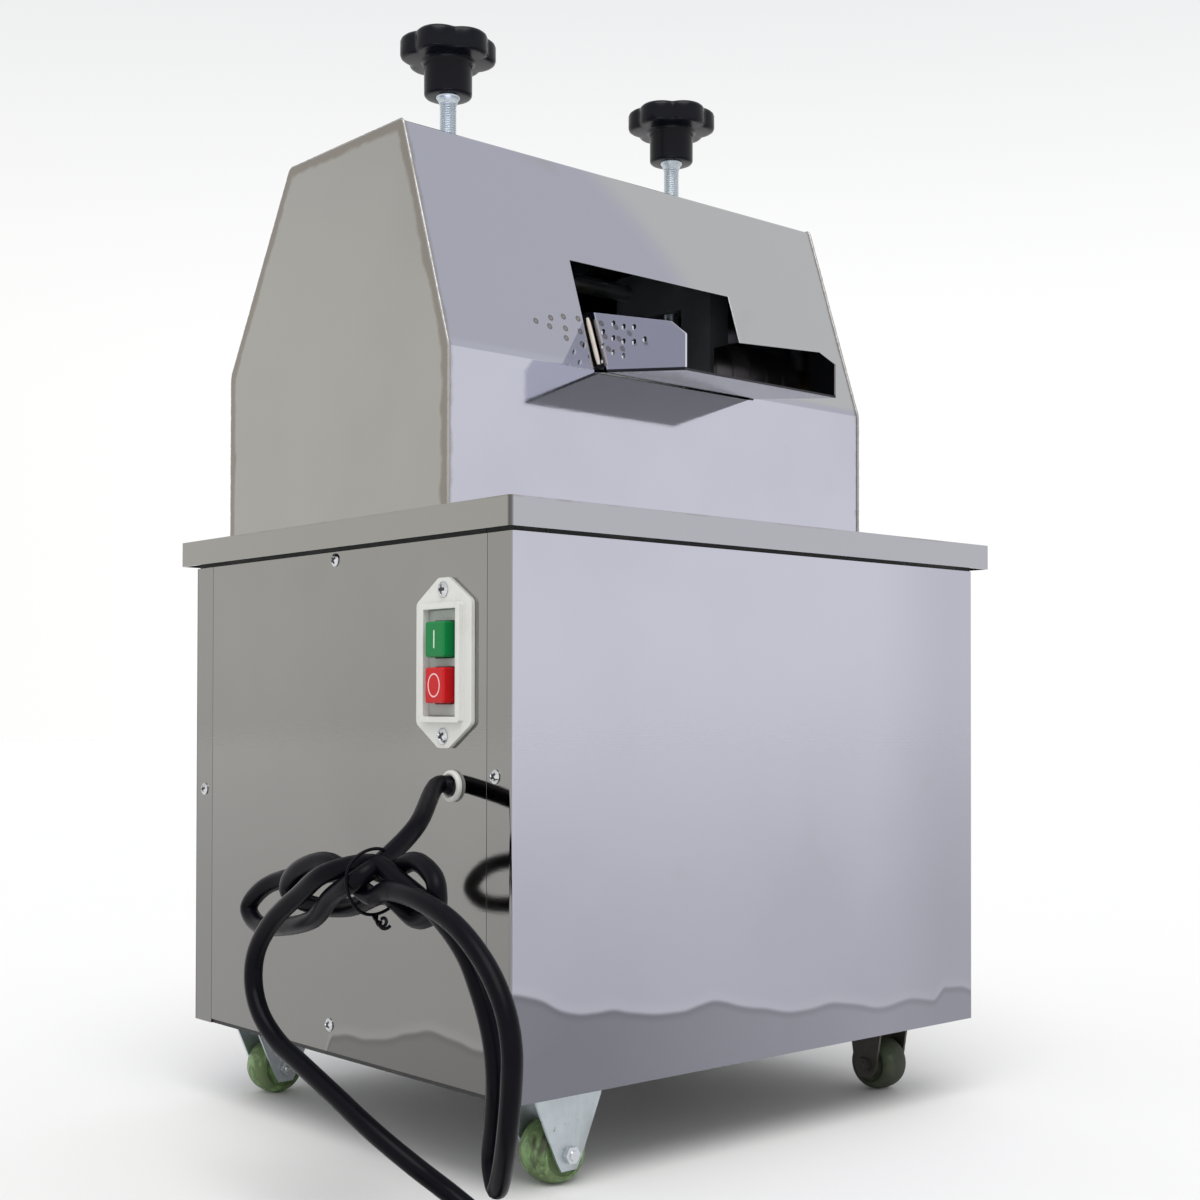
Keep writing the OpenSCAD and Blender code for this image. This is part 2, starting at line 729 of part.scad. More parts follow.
module swept(route, r, m) {
    sides = route_sides(route, 0, [0, 0, 1]);
    tube([for (i = [0:len(route) - 1])
        let (a = route[max(i - 1, 0)], b = route[min(i + 1, len(route) - 1)], t = unit(b - a))
        let (u = sides[i], v = cross(t, u))
        [for (k = [0:m - 1]) route[i] + r * (cos(360 * k / m) * u + sin(360 * k / m) * v)]]);
}

module cord_gland() {
    color("lightgray") difference() {
        union() {
            rod_x(9.8, -half_w - 3.2, -half_w, gland_y, gland_z);
            rod_x(8, -half_w, -half_w + 9, gland_y, gland_z);
        }
        rod_x(cord_d / 2 + 0.7, -half_w - 5, -half_w + 10, gland_y, gland_z);
    }
}

module cord_run() { color([0.08, 0.08, 0.1]) swept(cord_points, cord_d / 2, 10); }

module cord_tie() {
    color([0.1, 0.1, 0.1]) translate([-317, -188, 196]) rotate([90, 0, 0])
        rotate_extrude() translate([18.5, 0]) circle(r = 1, $fn = 16);
}

// A moulded plug with two round pins, at the end of the cord
module plug() {
    end = cord_points[len(cord_points) - 1];
    before = cord_points[len(cord_points) - 2];
    heading = atan2(end[1] - before[1], end[0] - before[0]);
    color([0.08, 0.08, 0.1]) translate([end[0], end[1], 14]) rotate([0, 0, heading]) rotate([0, 90, 0]) {
        translate([8, 0, 0]) cylinder(r = 6, h = 14);
        translate([0, 0, 14]) cylinder(r = 14, h = 26);
        for (s = [-1, 1]) translate([0, s * 7, 40]) cylinder(r = 2.2, h = 18);
    }
}

// ---------- casters ----------

module tapered_leg(top_half, bottom_half, z_top) {
    z = wheel_d / 2;
    polygon([
        [-top_half, z_top], [-top_half, z_top - 4], [-bottom_half, z - 3], [-bottom_half + 4, z - 10],
        [bottom_half - 4, z - 10], [bottom_half, z - 3], [top_half, z_top - 4], [top_half, z_top]
    ]);
}

// Two legs and a bridge over a wheel whose axle lies along Y
module yoke(top_half, z_top) {
    y = wheel_w / 2 + 1.5;
    difference() {
        union() {
            mirrored([0, 1, 0]) along_y(y, y + 2) tapered_leg(top_half, 10, z_top);
            slab([-top_half, -y - 2, z_top - 2], [top_half, y + 2, z_top]);
        }
        rod_y(3.05, -y - 5, y + 5, 0, wheel_d / 2);
    }
}

module axle_bolt() {
    y = wheel_w / 2 + 3.5;
    z = wheel_d / 2;
    rod_y(3, -y - 5, y + 5, 0, z);
    translate([0, -y, z]) rotate([90, 0, 0]) cylinder(r = 5.8, h = 4, $fn = 6);
    translate([0, y + 4, z]) rotate([90, 0, 0]) cylinder(r = 5.8, h = 4, $fn = 6);
}

module wheel() {
    r = wheel_d / 2;
    w = wheel_w / 2;
    profile = [[3.1, -w], [9, -w], [9, 3 - w], [r - 5, -w + 1], [r - 1.6, -w + 4], [r, -2], [r, 2],
        [r - 1.6, w - 4], [r - 5, w - 1], [9, w - 3], [9, w], [3.1, w]];
    translate([0, 0, r]) rotate([90, 0, 0]) rotate_extrude() polygon(profile);
}

module rigid_brackets() {
    color("silver") for (s = [-1, 1]) translate([bracket_x, s * bracket_y, 0]) yoke(26, panel_z);
}

module rigid_axles() {
    color("silver") for (s = [-1, 1]) translate([bracket_x, s * bracket_y, 0]) axle_bolt();
}

module front_left_wheel() { color("darkseagreen") translate([bracket_x, -bracket_y, 0]) wheel(); }
module back_left_wheel() { color("darkseagreen") translate([bracket_x, bracket_y, 0]) wheel(); }

module swivel_plates() {
    color("silver") for (s = [-1, 1]) translate([swivel_x, s * swivel_y, 0]) {
        slab([-20, -20, panel_z - 2], [20, 20, panel_z]);
        rod_z(14, panel_z - 7, panel_z - 2, 0, 0);
        rod_z(3, panel_z - 12, panel_z - 7, 0, 0);
    }
}

// A trailing fork with its axle, its pivot on the Z axis of the plate over it
module fork() {
    difference() {
        union() {
            translate([swivel_trail, 0, 0]) yoke(15, panel_z - 7.3);
            slab([-14, -14, panel_z - 9.3], [swivel_trail, 14, panel_z - 7.3]);
        }
        rod_z(3.05, panel_z - 15, panel_z, 0, 0);
    }
    translate([swivel_trail, 0, 0]) axle_bolt();
}

// Each trails towards the middle of the right side
module front_right_fork() {
    color("silver") translate([swivel_x, -swivel_y, 0]) rotate([0, 0, 90]) fork();
}

module back_right_fork() {
    color("silver") translate([swivel_x, swivel_y, 0]) rotate([0, 0, -90]) fork();
}

module front_right_wheel() {
    color("darkseagreen") translate([swivel_x, swivel_trail - swivel_y, 0]) rotate([0, 0, 90]) wheel();
}

module back_right_wheel() {
    color("darkseagreen") translate([swivel_x, swivel_y - swivel_trail, 0]) rotate([0, 0, -90]) wheel();
}

corner_posts();
base_rails();
top_rails();
base_plate();
front_panel();
back_panel();
left_panel();
right_panel();
tabletop();
panel_screws();
hood_wrap();
hood_left_end();
hood_right_end();
feed_chute();
bagasse_chute();
mill_side_plates();
tie_rods();
roller_bushes();
top_roller();
front_roller();
back_roller();
top_gear();
front_gear();
back_gear();
bearing_blocks();
return_springs();
left_pressure_pad();
right_pressure_pad();
left_screw();
right_screw();
left_knob();
right_knob();
turner_plate();
juice_tray();
juice_pipe();
roller_sprocket();
drive_chain();
reducer();
reducer_sprocket();
reducer_pulley();
motor();
motor_pulley();
drive_belt();
switch_plate();
switch_body();
start_button();
stop_button();
cord_gland();
cord_run();
cord_tie();
plug();
rigid_brackets();
rigid_axles();
front_left_wheel();
back_left_wheel();
swivel_plates();
front_right_fork();
back_right_fork();
front_right_wheel();
back_right_wheel();
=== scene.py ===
import json
import math

import bmesh
import bpy
from mathutils import Euler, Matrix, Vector


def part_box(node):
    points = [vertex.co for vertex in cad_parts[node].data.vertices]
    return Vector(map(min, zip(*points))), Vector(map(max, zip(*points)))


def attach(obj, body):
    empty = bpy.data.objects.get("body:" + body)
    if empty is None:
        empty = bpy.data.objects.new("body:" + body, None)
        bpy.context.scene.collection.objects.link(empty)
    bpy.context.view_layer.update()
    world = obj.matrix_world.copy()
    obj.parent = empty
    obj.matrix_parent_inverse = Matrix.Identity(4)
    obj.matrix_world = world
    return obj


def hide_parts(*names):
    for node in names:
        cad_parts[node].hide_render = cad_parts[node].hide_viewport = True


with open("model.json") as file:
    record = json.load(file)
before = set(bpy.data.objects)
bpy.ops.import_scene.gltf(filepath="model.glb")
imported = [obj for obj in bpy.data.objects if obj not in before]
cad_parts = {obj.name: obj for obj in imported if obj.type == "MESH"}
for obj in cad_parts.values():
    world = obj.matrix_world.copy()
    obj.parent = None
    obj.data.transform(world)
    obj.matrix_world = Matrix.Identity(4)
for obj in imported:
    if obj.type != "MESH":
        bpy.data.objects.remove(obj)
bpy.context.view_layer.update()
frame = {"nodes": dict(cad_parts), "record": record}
print("frame loaded")


# shader helpers

class Wire:
    # a socket that can be added, multiplied and compared like a number
    def __init__(self, tree, socket):
        self.tree = tree
        self.socket = socket

    def maths(self, operation, *others):
        node = self.tree.nodes.new("ShaderNodeMath")
        node.operation = operation
        for slot, value in zip(node.inputs, (self,) + others):
            plug(self.tree, slot, value)
        return Wire(self.tree, node.outputs[0])

    def __add__(self, other):
        return self.maths("ADD", other)

    def __radd__(self, other):
        return self.maths("ADD", other)

    def __sub__(self, other):
        return self.maths("SUBTRACT", other)

    def __rsub__(self, other):
        return (self * -1) + other

    def __mul__(self, other):
        return self.maths("MULTIPLY", other)

    def __rmul__(self, other):
        return self.maths("MULTIPLY", other)

    def __truediv__(self, other):
        return self.maths("DIVIDE", other)


def plug(tree, slot, value):
    if isinstance(value, Wire):
        tree.links.new(value.socket, slot)
    elif hasattr(slot, "default_value"):
        if isinstance(value, (tuple, list)) and len(slot.default_value) == 4 and len(value) == 3:
            value = (*value, 1)
        slot.default_value = value


class Shader:
    def __init__(self, tree):
        self.tree = tree
        tree.nodes.clear()

    def make(self, kind, inputs=None, out=0, **settings):
        node = self.tree.nodes.new(kind)
        for name, value in settings.items():
            setattr(node, name, value)
        for name, value in (inputs or {}).items():
            plug(self.tree, node.inputs[name], value)
        return Wire(self.tree, node.outputs[out]) if node.outputs else None

    def place(self, scale=(1, 1, 1)):
        coords = self.make("ShaderNodeTexCoord", out="Object")
        return self.make("ShaderNodeMapping", {"Vector": coords, "Scale": scale})

    def grain(self, scale, detail=4, rough=0.5, stretch=(1, 1, 1), warp=0):
        return self.make("ShaderNodeTexNoise", {
            "Vector": self.place(stretch), "Scale": scale, "Detail": detail,
            "Roughness": rough, "Distortion": warp})

    def fade(self, value, low, high, toLow=0, toHigh=1):
        return self.make("ShaderNodeMapRange", {
            "Value": value, 1: low, 2: high, 3: toLow, 4: toHigh}, interpolation_type="SMOOTHSTEP")

    def blend(self, amount, first, second):
        return self.make("ShaderNodeMix", {0: amount, 6: first, 7: second}, out=2, data_type="RGBA")

    def axes(self):
        coords = self.make("ShaderNodeTexCoord", out="Object")
        node = self.tree.nodes.new("ShaderNodeSeparateXYZ")
        plug(self.tree, node.inputs[0], coords)
        return [Wire(self.tree, output) for output in node.outputs]

    def dents(self, height, strength=0.3, distance=0.001, under=None):
        inputs = {"Height": height, "Strength": strength, "Distance": distance}
        if under:
            inputs["Normal"] = under
        return self.make("ShaderNodeBump", inputs)


def finish(name, build):
    material = bpy.data.materials.new(name)
    material.use_nodes = True
    shader = Shader(material.node_tree)
    sockets = build(shader)
    surface = shader.make("ShaderNodeBsdfPrincipled", sockets)
    shader.make("ShaderNodeOutputMaterial", {"Surface": surface})
    return material


# finishes, one for each metal, plastic and rubber

sheetLook = {
    # left, end, front and chute are painted reflection: the same stainless steel in its own tone for each side it
    # faces
    "left": (0.318, 0.314, 0.300),
    "end": (0.405, 0.400, 0.378),
    "front": (0.53, 0.536, 0.615),
    "plain": (0.44, 0.44, 0.45),
    "chute": (0.64, 0.645, 0.72),
    "stain": (0.40, 0.34, 0.24),
    "tint": (0.20, 0.17, 0.14),
    "heat": (0.20, 0.165, 0.13),
    "shadow": (0.012, 0.012, 0.014),
    "seam": (0.05, 0.045, 0.04),
    # painted reflection: the tabletop's front edge in its own tone
    "hemFront": (0.42, 0.42, 0.46),
    "hemMarks": (0.20, 0.16, 0.11),
    # painted reflection: the lighter right part of the hood's slope
    "slopeReflection": (0.56, 0.565, 0.565),
    # painted reflection of the holes in the chute's left wall, as rings on the hood's slope
    "holeReflection": (0.17, 0.15, 0.12),
    # painted shade: the inside of the chute's right wall and the underside of its floor
    "chuteShade": (0.07, 0.055, 0.05),
    "chuteUnderShade": (0.030, 0.030, 0.034),
    "roughness": 0.055,
}


def darker(tone, share):
    return tuple(c * share for c in tone)


def sheetSteel(tone, foot=None, stains=1.0, extra=None):
    # bright stainless sheet: slow buckles, wiped stains, fine scratches, and at the foot painted shade that
    # darkens towards the bottom and a dark band of painted floor reflection
    def build(s):
        x, y, z = s.axes()
        own = sheetLook[tone]
        spots = s.fade(s.grain(17, 2, 0.45, warp=0.5), 0.66, 0.80)
        wipes = s.fade(s.grain(9, 5, 0.65, (1, 1, 0.35), warp=1.2), 0.52, 0.80)
        smudge = s.fade(s.grain(4.5, 3, 0.6), 0.38, 0.75)
        colour = s.blend(smudge * 0.5, own, darker(own, 0.86))
        rough = sheetLook["roughness"] + wipes * 0.04 + spots * 0.04
        if extra:
            colour, more = extra(s, x, y, z, colour)
            rough = rough + more
        colour = s.blend(spots * (0.16 * stains), colour, sheetLook["stain"])
        if foot:
            top, depth = foot(s, x, y)
            # painted shade: darker towards the bottom
            colour = s.blend(s.fade(z, 0.36, 0.10) * 0.25, colour, sheetLook["shadow"])
            # painted reflection of the floor: a dark band with a wavy top along the foot
            edge = z + (s.grain(11, 2, 0.5, (1, 1, 0.1)) - 0.5) * 0.03 - top
            band = s.fade(edge, 0.0015, -0.0015)
            colour = s.blend(band * depth, colour, sheetLook["shadow"])
            # a painted highlight just above the band's edge, and a painted shade line along it
            lit = s.fade(edge, 0.010, 0.002) * s.fade(edge, -0.001, 0.0015)
            colour = s.blend(lit * 0.05, colour, (0.8, 0.8, 0.85))
            rim = s.fade(edge, -0.006, -0.001) * s.fade(edge, 0.002, 0.0)
            colour = s.blend(rim * 0.16, colour, sheetLook["shadow"])
            rough = rough + band * 0.03
        buckle = s.dents(s.grain(3.2, 1, 0.3), 0.22, 0.004)
        scratch = s.dents(s.grain(60, 6, 0.7, (1, 1, 14)), 0.035, 0.0003, buckle)
        return {"Base Color": colour, "Metallic": 1.0, "Roughness": rough, "Normal": scratch}
    return build


def weldedEnd(s, x, y, z, colour):
    # a ground and heat-tinted band along the outline of the hood's ends
    band = None
    for ny, nz, reach in hoodPlanes():
        depth = reach - (y * ny + z * nz)
        band = depth if band is None else band.maths("MINIMUM", depth)
    uneven = (s.grain(45, 4, 0.6) - 0.5) * 0.009
    heat = s.fade(band + uneven, 0.0085, 0.0045)
    return s.blend(heat * 0.6, colour, sheetLook["heat"]), heat * 0.16


# places of the painted reflections of the chute wall's holes on the hood's slope
reflectedHoleDots = [(-0.1214, 0.5527), (-0.1072, 0.5572), (-0.0952, 0.5600), (-0.0817, 0.5607), (-0.1098, 0.5507),
             (-0.0956, 0.5514), (-0.0824, 0.5513), (-0.0969, 0.5442), (-0.0831, 0.5420)]


def hoodFront(s, x, y, z, colour):
    # a tinted rim at each end, a painted reflection over the slope that turns lighter away from a point on its
    # left, and brown rings beside the mouth that are the painted reflection of the holes in the chute's left wall
    rim = s.fade(x.maths("ABSOLUTE") + (s.grain(60, 3, 0.6) - 0.5) * 0.005, 0.1965, 0.2005)
    slope = s.fade(z, 0.526, 0.531) * s.fade(y, 0.1, 0.09)
    reach = ((x + 0.16) * (x + 0.16) + (z - 0.52) * (z - 0.52)).maths("SQRT")
    sway = (s.grain(5, 1, 0.4) - 0.5) * 0.06
    # painted reflection over the slope: a little darker, and lighter away from a point at its left
    colour = s.blend(slope * 0.9, colour, darker(sheetLook["front"], 0.90))
    colour = s.blend(slope * s.fade(reach + sway, 0.195, 0.23), colour, sheetLook["slopeReflection"])
    # painted reflection of the holes in the chute's left wall, as a ring round each place
    for dotX, dotZ in reflectedHoleDots:
        away = ((x - dotX) * (x - dotX) + (z - dotZ) * (z - dotZ) * 1.107).maths("SQRT")
        ring = s.fade(away, 0.0026, 0.0019) * s.fade(away, 0.0006, 0.0016, 0.55, 1)
        colour = s.blend(slope * ring * 0.85, colour, sheetLook["holeReflection"])
    return s.blend(rim * 0.5, colour, sheetLook["tint"]), rim * 0.14


def frontCorner(s, x, y, z, colour):
    # the front darkens towards its right end, and the side flanges take the side panels' tone as painted
    # reflection, past a painted shade line along the fold
    side = s.fade(x.maths("ABSOLUTE"), 0.2222, 0.2227)
    colour = s.blend(s.fade(x, 0.10, 0.20) * 0.7, colour, darker(sheetLook["front"], 0.80))
    colour = s.blend(side, colour, darker(sheetLook["left"], 0.94))
    # painted shade along the fold
    fold = s.fade(x.maths("ABSOLUTE"), 0.2221, 0.2226) * s.fade(y.maths("ABSOLUTE"), 0.1898, 0.1904)
    return s.blend(fold * 0.8, colour, (0.03, 0.03, 0.035)), side * 0.01


def tableEdges(s, x, y, z, colour):
    # brown water marks in the hem, the front and left edges each in their own tone as painted reflection, and a
    # dark corner seam
    front = s.fade(y, -0.1988, -0.1996)
    marks = s.fade(s.grain(14, 5, 0.7, (1, 1, 3), warp=0.8), 0.50, 0.68) * s.fade(z, 0.4140, 0.4162)
    # painted reflection: the front and left edges each in their own tone
    colour = s.blend(front, colour, sheetLook["hemFront"])
    colour = s.blend(s.fade(x, -0.2312, -0.2318), colour, darker(sheetLook["end"], 0.85))
    seam = s.fade((x + 0.232).maths("ABSOLUTE") + (y + 0.200).maths("ABSOLUTE"), 0.0030, 0.0012)
    colour = s.blend(seam * 0.85, colour, sheetLook["seam"])
    return s.blend(marks * 0.4, colour, sheetLook["hemMarks"]), marks * 0.2


def chuteUnderShade(s, x, y, z, colour):
    # painted shade: the floor's underside and the inside of the right wall are painted dark, and the underside is
    # a little rougher
    below = s.fade(z - (y + 0.180) * 0.12667, 0.5149, 0.5144) * s.fade(y, 0.0, -0.02)
    shaded = s.fade(x, 0.070, 0.073) * s.fade(y, 0.05, 0.03)
    colour = s.blend(shaded * 0.8, colour, sheetLook["chuteShade"])
    return s.blend(below * 0.97, colour, sheetLook["chuteUnderShade"]), below * 0.03


def bareMetal(colour, roughness, streak=(1, 1, 1), dirt=0.3, dirtColour=(0.10, 0.08, 0.06)):
    def build(s):
        lines = s.grain(240, 4, 0.6, streak)
        grime = s.fade(s.grain(38, 5, 0.65), 0.5, 0.72)
        shade = s.blend(lines * 0.25, colour, tuple(c * 0.7 for c in colour))
        return {
            "Base Color": s.blend(grime * dirt, shade, dirtColour),
            "Metallic": 1.0 - grime * (dirt * 0.5),
            "Roughness": roughness + lines * 0.10 + grime * 0.25,
            "Normal": s.dents(lines, 0.12, 0.0004)}
    return build


def platedHead(s):
    # bright plating, dark where the recess is deep
    pit = s.make("ShaderNodeAttribute", out="Fac", attribute_name="pit")
    grime = s.fade(s.grain(420, 4, 0.65), 0.52, 0.70)
    colour = s.blend(grime * 0.35, (0.66, 0.67, 0.69), (0.20, 0.19, 0.18))
    return {
        "Base Color": s.blend(pit * 0.93, colour, (0.020, 0.020, 0.022)),
        "Metallic": 1.0 - pit * 0.6,
        "Roughness": 0.20 + pit * 0.4 + grime * 0.2,
        "Normal": s.dents(s.grain(700, 3, 0.6), 0.08, 0.0002)}


def paint(colour, roughness):
    # sprayed enamel with a little dust on it
    def build(s):
        peel = s.grain(420, 2, 0.5)
        dust = s.fade(s.grain(18, 4, 0.6), 0.48, 0.75)
        return {
            "Base Color": s.blend(dust * 0.3, colour, (0.24, 0.22, 0.19)),
            "Roughness": roughness + dust * 0.25,
            "Normal": s.dents(peel, 0.10, 0.0003)}
    return build


def plastic(colour, roughness, dirt=0.15, dirtColour=(0.32, 0.28, 0.20), pebble=0.06, size=700, shine=0.5):
    def build(s):
        grime = s.fade(s.grain(46, 5, 0.6, warp=0.6), 0.5, 0.78)
        fine = s.grain(size, 3, 0.55)
        scuff = s.fade(s.grain(170, 5, 0.7, (1, 1, 0.2), warp=0.8), 0.60, 0.72)
        return {
            "Base Color": s.blend(grime * dirt, colour, dirtColour),
            "Roughness": roughness + fine * 0.06 + scuff * 0.14,
            "Specular IOR Level": shine,
            "Normal": s.dents(fine, pebble, 0.0003)}
    return build


def dirtyWheel(s):
    # pale green nylon with dark grime pressed into the tread, and the right-hand pair darker
    x = s.axes()[0]
    along = s.fade(x, 0.0, 0.05)
    tread = s.fade(s.grain(55, 5, 0.7, warp=0.9) + along * 0.12, 0.38, 0.54)
    film = s.fade(s.grain(16, 3, 0.6), 0.35, 0.7)
    colour = s.blend(film * 0.45, (0.17, 0.32, 0.10), (0.27, 0.42, 0.20))
    colour = s.blend(tread * 0.62, colour, (0.060, 0.052, 0.032))
    smear = s.fade(s.grain(28, 4, 0.65, (1, 1, 0.45), warp=0.6), 0.52, 0.59)
    colour = s.blend(smear * 0.85, colour, (0.030, 0.026, 0.018))
    colour = s.blend(along * 0.82, colour, (0.030, 0.036, 0.022))
    return {
        "Base Color": colour,
        "Roughness": 0.34 + tread * 0.38,
        "Coat Weight": 0.15 - tread * 0.15,
        "Normal": s.dents(tread + s.grain(400, 3, 0.6) * 0.2, 0.25, 0.0006)}


def galvanised(s):
    # dull zinc with darker pits, runs and a trace of brown at the pits
    cells = s.make("ShaderNodeTexVoronoi", {"Vector": s.place(), "Scale": 150}, feature="F1")
    pits = s.fade(s.grain(120, 4, 0.7), 0.62, 0.70)
    runs = s.fade(s.grain(34, 4, 0.6, (1, 1, 0.25), warp=0.8), 0.45, 0.75)
    colour = s.blend(cells * 0.35, (0.52, 0.57, 0.60), (0.38, 0.42, 0.45))
    colour = s.blend(runs * 0.35, colour, (0.20, 0.20, 0.19))
    colour = s.blend(pits * 0.7, colour, (0.09, 0.06, 0.04))
    return {
        "Base Color": colour,
        "Metallic": 0.85 - pits * 0.6,
        "Roughness": 0.36 + runs * 0.2 + pits * 0.2,
        "Normal": s.dents(runs * 0.5 - pits, 0.25, 0.0005)}


def rubberSkin(s):
    # extruded flex: fine lengthwise draw marks, chalky dust, polished highlights
    dust = s.fade(s.grain(70, 5, 0.7), 0.52, 0.78)
    fine = s.grain(900, 3, 0.5)
    return {
        "Base Color": s.blend(dust * 0.03, (0.0024, 0.0024, 0.0048), (0.06, 0.055, 0.07)),
        "Roughness": 0.28 + dust * 0.20 + fine * 0.06,
        "Specular IOR Level": 0.08,
        "Normal": s.dents(fine, 0.05, 0.0003)}


hoodOutline = {"front": -0.097, "back": 0.1795, "kinkFront": 0.524, "kinkBack": 0.543, "top": 0.682,
               "topFront": -0.0453, "topBack": 0.0957}


def hoodPlanes():
    # the outward side of each edge of the end plates, as a slope and a reach
    h = hoodOutline
    corners = [(h["front"], 0.416), (h["front"], h["kinkFront"]), (h["topFront"], h["top"]),
               (h["topBack"], h["top"]), (h["back"], h["kinkBack"]), (h["back"], 0.416)]
    planes = []
    for (ay, az), (by, bz) in zip(corners, corners[1:]):
        length = math.hypot(by - ay, bz - az)
        ny, nz = -(bz - az) / length, (by - ay) / length
        planes.append((ny, nz, ny * ay + nz * az))
    return planes


# painted floor reflection at the foot of the front and back panels: the band's top height and its strength along
# the panel
def frontFootReflection(s, x, y):
    top = s.make("ShaderNodeMapRange", {"Value": x, 1: -0.223, 2: 0.223, 3: 0.109, 4: 0.072})
    top = top + s.fade(x, -0.165, -0.222) * 0.014 + s.fade(x, 0.175, 0.190) * 0.009
    side = s.fade(x.maths("ABSOLUTE"), 0.2222, 0.2227)
    return top - side * (0.035 + s.fade(y, 0.0, 0.1) * 0.05), s.fade(x, -0.2, 0.2, 0.52, 0.22)


# painted floor reflection at the foot of the side panels: the band's top height and its strength
def leftFootReflection(s, x, y):
    return s.fade(y, -0.19, 0.0, 0.090, 0.078) - s.fade(y, 0.0, 0.03) * 0.06, 0.34


finishes = {
    # the sheet finishes are one stainless steel in a tone for each side as painted reflection, some with a
    # painted floor reflection and painted shade at the foot
    "sheetLeft": sheetSteel("left", leftFootReflection),
    "sheetFront": sheetSteel("front", frontFootReflection, 0.5, frontCorner),
    "sheetPlain": sheetSteel("plain", leftFootReflection),
    "hoodFront": sheetSteel("front", extra=hoodFront),
    "hoodEnd": sheetSteel("end", stains=1.6, extra=weldedEnd),
    "tableSteel": sheetSteel("end", extra=tableEdges),
    "chuteSteel": sheetSteel("chute", extra=chuteUnderShade),
    "turnedSteel": bareMetal((0.52, 0.52, 0.52), 0.24, (12, 1, 1), 0.2),
    "zincBright": bareMetal((0.66, 0.69, 0.72), 0.22, (1, 1, 1), 0.22),
    "castIron": bareMetal((0.20, 0.20, 0.205), 0.44, (1, 1, 1), 0.5),
    "oiledSteel": bareMetal((0.14, 0.125, 0.105), 0.34, (1, 1, 1), 0.6, (0.03, 0.022, 0.014)),
    "bronze": bareMetal((0.56, 0.34, 0.15), 0.30, (8, 1, 1), 0.3),
    "zincHead": platedHead,
    "zincDull": galvanised,
    "weldBead": bareMetal((0.42, 0.41, 0.40), 0.36, (1, 1, 1), 0.3, (0.16, 0.13, 0.10)),
    "zincRusty": bareMetal((0.13, 0.12, 0.11), 0.50, (1, 1, 1), 0.8, (0.055, 0.030, 0.016)),
    "screwZinc": bareMetal((0.60, 0.66, 0.71), 0.34, (1, 1, 1), 0.06),
    "frameBlack": paint((0.016, 0.017, 0.019), 0.55),
    "millGrey": paint((0.10, 0.115, 0.13), 0.45),
    "motorBlue": paint((0.022, 0.075, 0.15), 0.36),
    "knobBlack": plastic((0.0042, 0.0044, 0.0080), 0.20, 0.03, (0.04, 0.04, 0.05), 0.03, 500, 0.14),
    "plugBlack": plastic((0.012, 0.012, 0.014), 0.42, 0.10, (0.10, 0.09, 0.08), 0.10, 900),
    "creamPlastic": plastic((0.66, 0.665, 0.640), 0.34, 0.20, (0.44, 0.40, 0.28), 0.05),
    "stripPlastic": plastic((0.56, 0.50, 0.44), 0.40, 0.3, (0.30, 0.22, 0.14), 0.05),
    "greyPlastic": plastic((0.36, 0.38, 0.36), 0.40, 0.2),
    "glandPlastic": plastic((0.60, 0.60, 0.575), 0.38, 0.30, (0.30, 0.28, 0.22)),
    "greenPlastic": plastic((0.001, 0.19, 0.045), 0.34, 0.05, (0.01, 0.10, 0.03), 0.05, shine=0.25),
    "redPlastic": plastic((0.52, 0.006, 0.009), 0.34, 0.05, (0.25, 0.02, 0.02), 0.05, shine=0.25),
    "markGreen": plastic((0.55, 0.72, 0.58), 0.45, 0.15, (0.25, 0.45, 0.28)),
    "markRed": plastic((0.80, 0.50, 0.52), 0.45, 0.15, (0.60, 0.25, 0.26)),
    "wheelGreen": dirtyWheel,
    "cordRubber": rubberSkin,
    "beltRubber": plastic((0.014, 0.014, 0.015), 0.6, 0.3, (0.12, 0.11, 0.10), 0.2, 500),
}
made = {name: finish(name, build) for name, build in finishes.items()}
print("finishes made")

nodeFinish = {
    "frameBlack": ["corner_posts", "base_rails", "top_rails", "base_plate"],
    "sheetFront": ["front_panel", "back_panel"],
    "sheetLeft": ["left_panel"],
    "sheetPlain": ["right_panel"],
    "tableSteel": ["tabletop"],
    "hoodFront": ["hood_wrap"],
    "hoodEnd": ["hood_left_end", "hood_right_end"],
    "chuteSteel": ["feed_chute", "bagasse_chute", "juice_tray", "juice_pipe", "turner_plate"],
    "millGrey": ["mill_side_plates"],
    "turnedSteel": ["top_roller", "front_roller", "back_roller", "tie_rods", "return_springs"],
    "zincBright": ["panel_screws", "rigid_axles"],
    "castIron": ["top_gear", "front_gear", "back_gear", "reducer_pulley", "motor_pulley",
                 "left_pressure_pad", "right_pressure_pad"],
    "oiledSteel": ["roller_sprocket", "reducer_sprocket", "drive_chain"],
    "bronze": ["roller_bushes", "bearing_blocks"],
    "zincDull": ["rigid_brackets"],
    "zincRusty": ["swivel_plates", "front_right_fork", "back_right_fork"],
    "screwZinc": ["left_screw", "right_screw"],
    "motorBlue": ["reducer", "motor"],
    "knobBlack": ["left_knob", "right_knob"],
    "plugBlack": ["plug"],
    "creamPlastic": ["switch_plate"],
    "greyPlastic": ["switch_body"],
    "glandPlastic": ["cord_gland"],
    "greenPlastic": ["start_button"],
    "redPlastic": ["stop_button"],
    "wheelGreen": ["front_left_wheel", "back_left_wheel", "front_right_wheel", "back_right_wheel"],
    "cordRubber": ["cord_run", "cord_tie"],
    "beltRubber": ["drive_belt"],
}
finishOf = {node: name for name, nodes in nodeFinish.items() for node in nodes}
bodyOf = {node: body for body, nodes in frame["record"]["behaviour"]["bodies"].items() for node in nodes}
for node, name in finishOf.items():
    for holder in frame["nodes"][node].material_slots:
        holder.material = made[name]
    if not frame["nodes"][node].material_slots:
        frame["nodes"][node].data.materials.append(made[name])


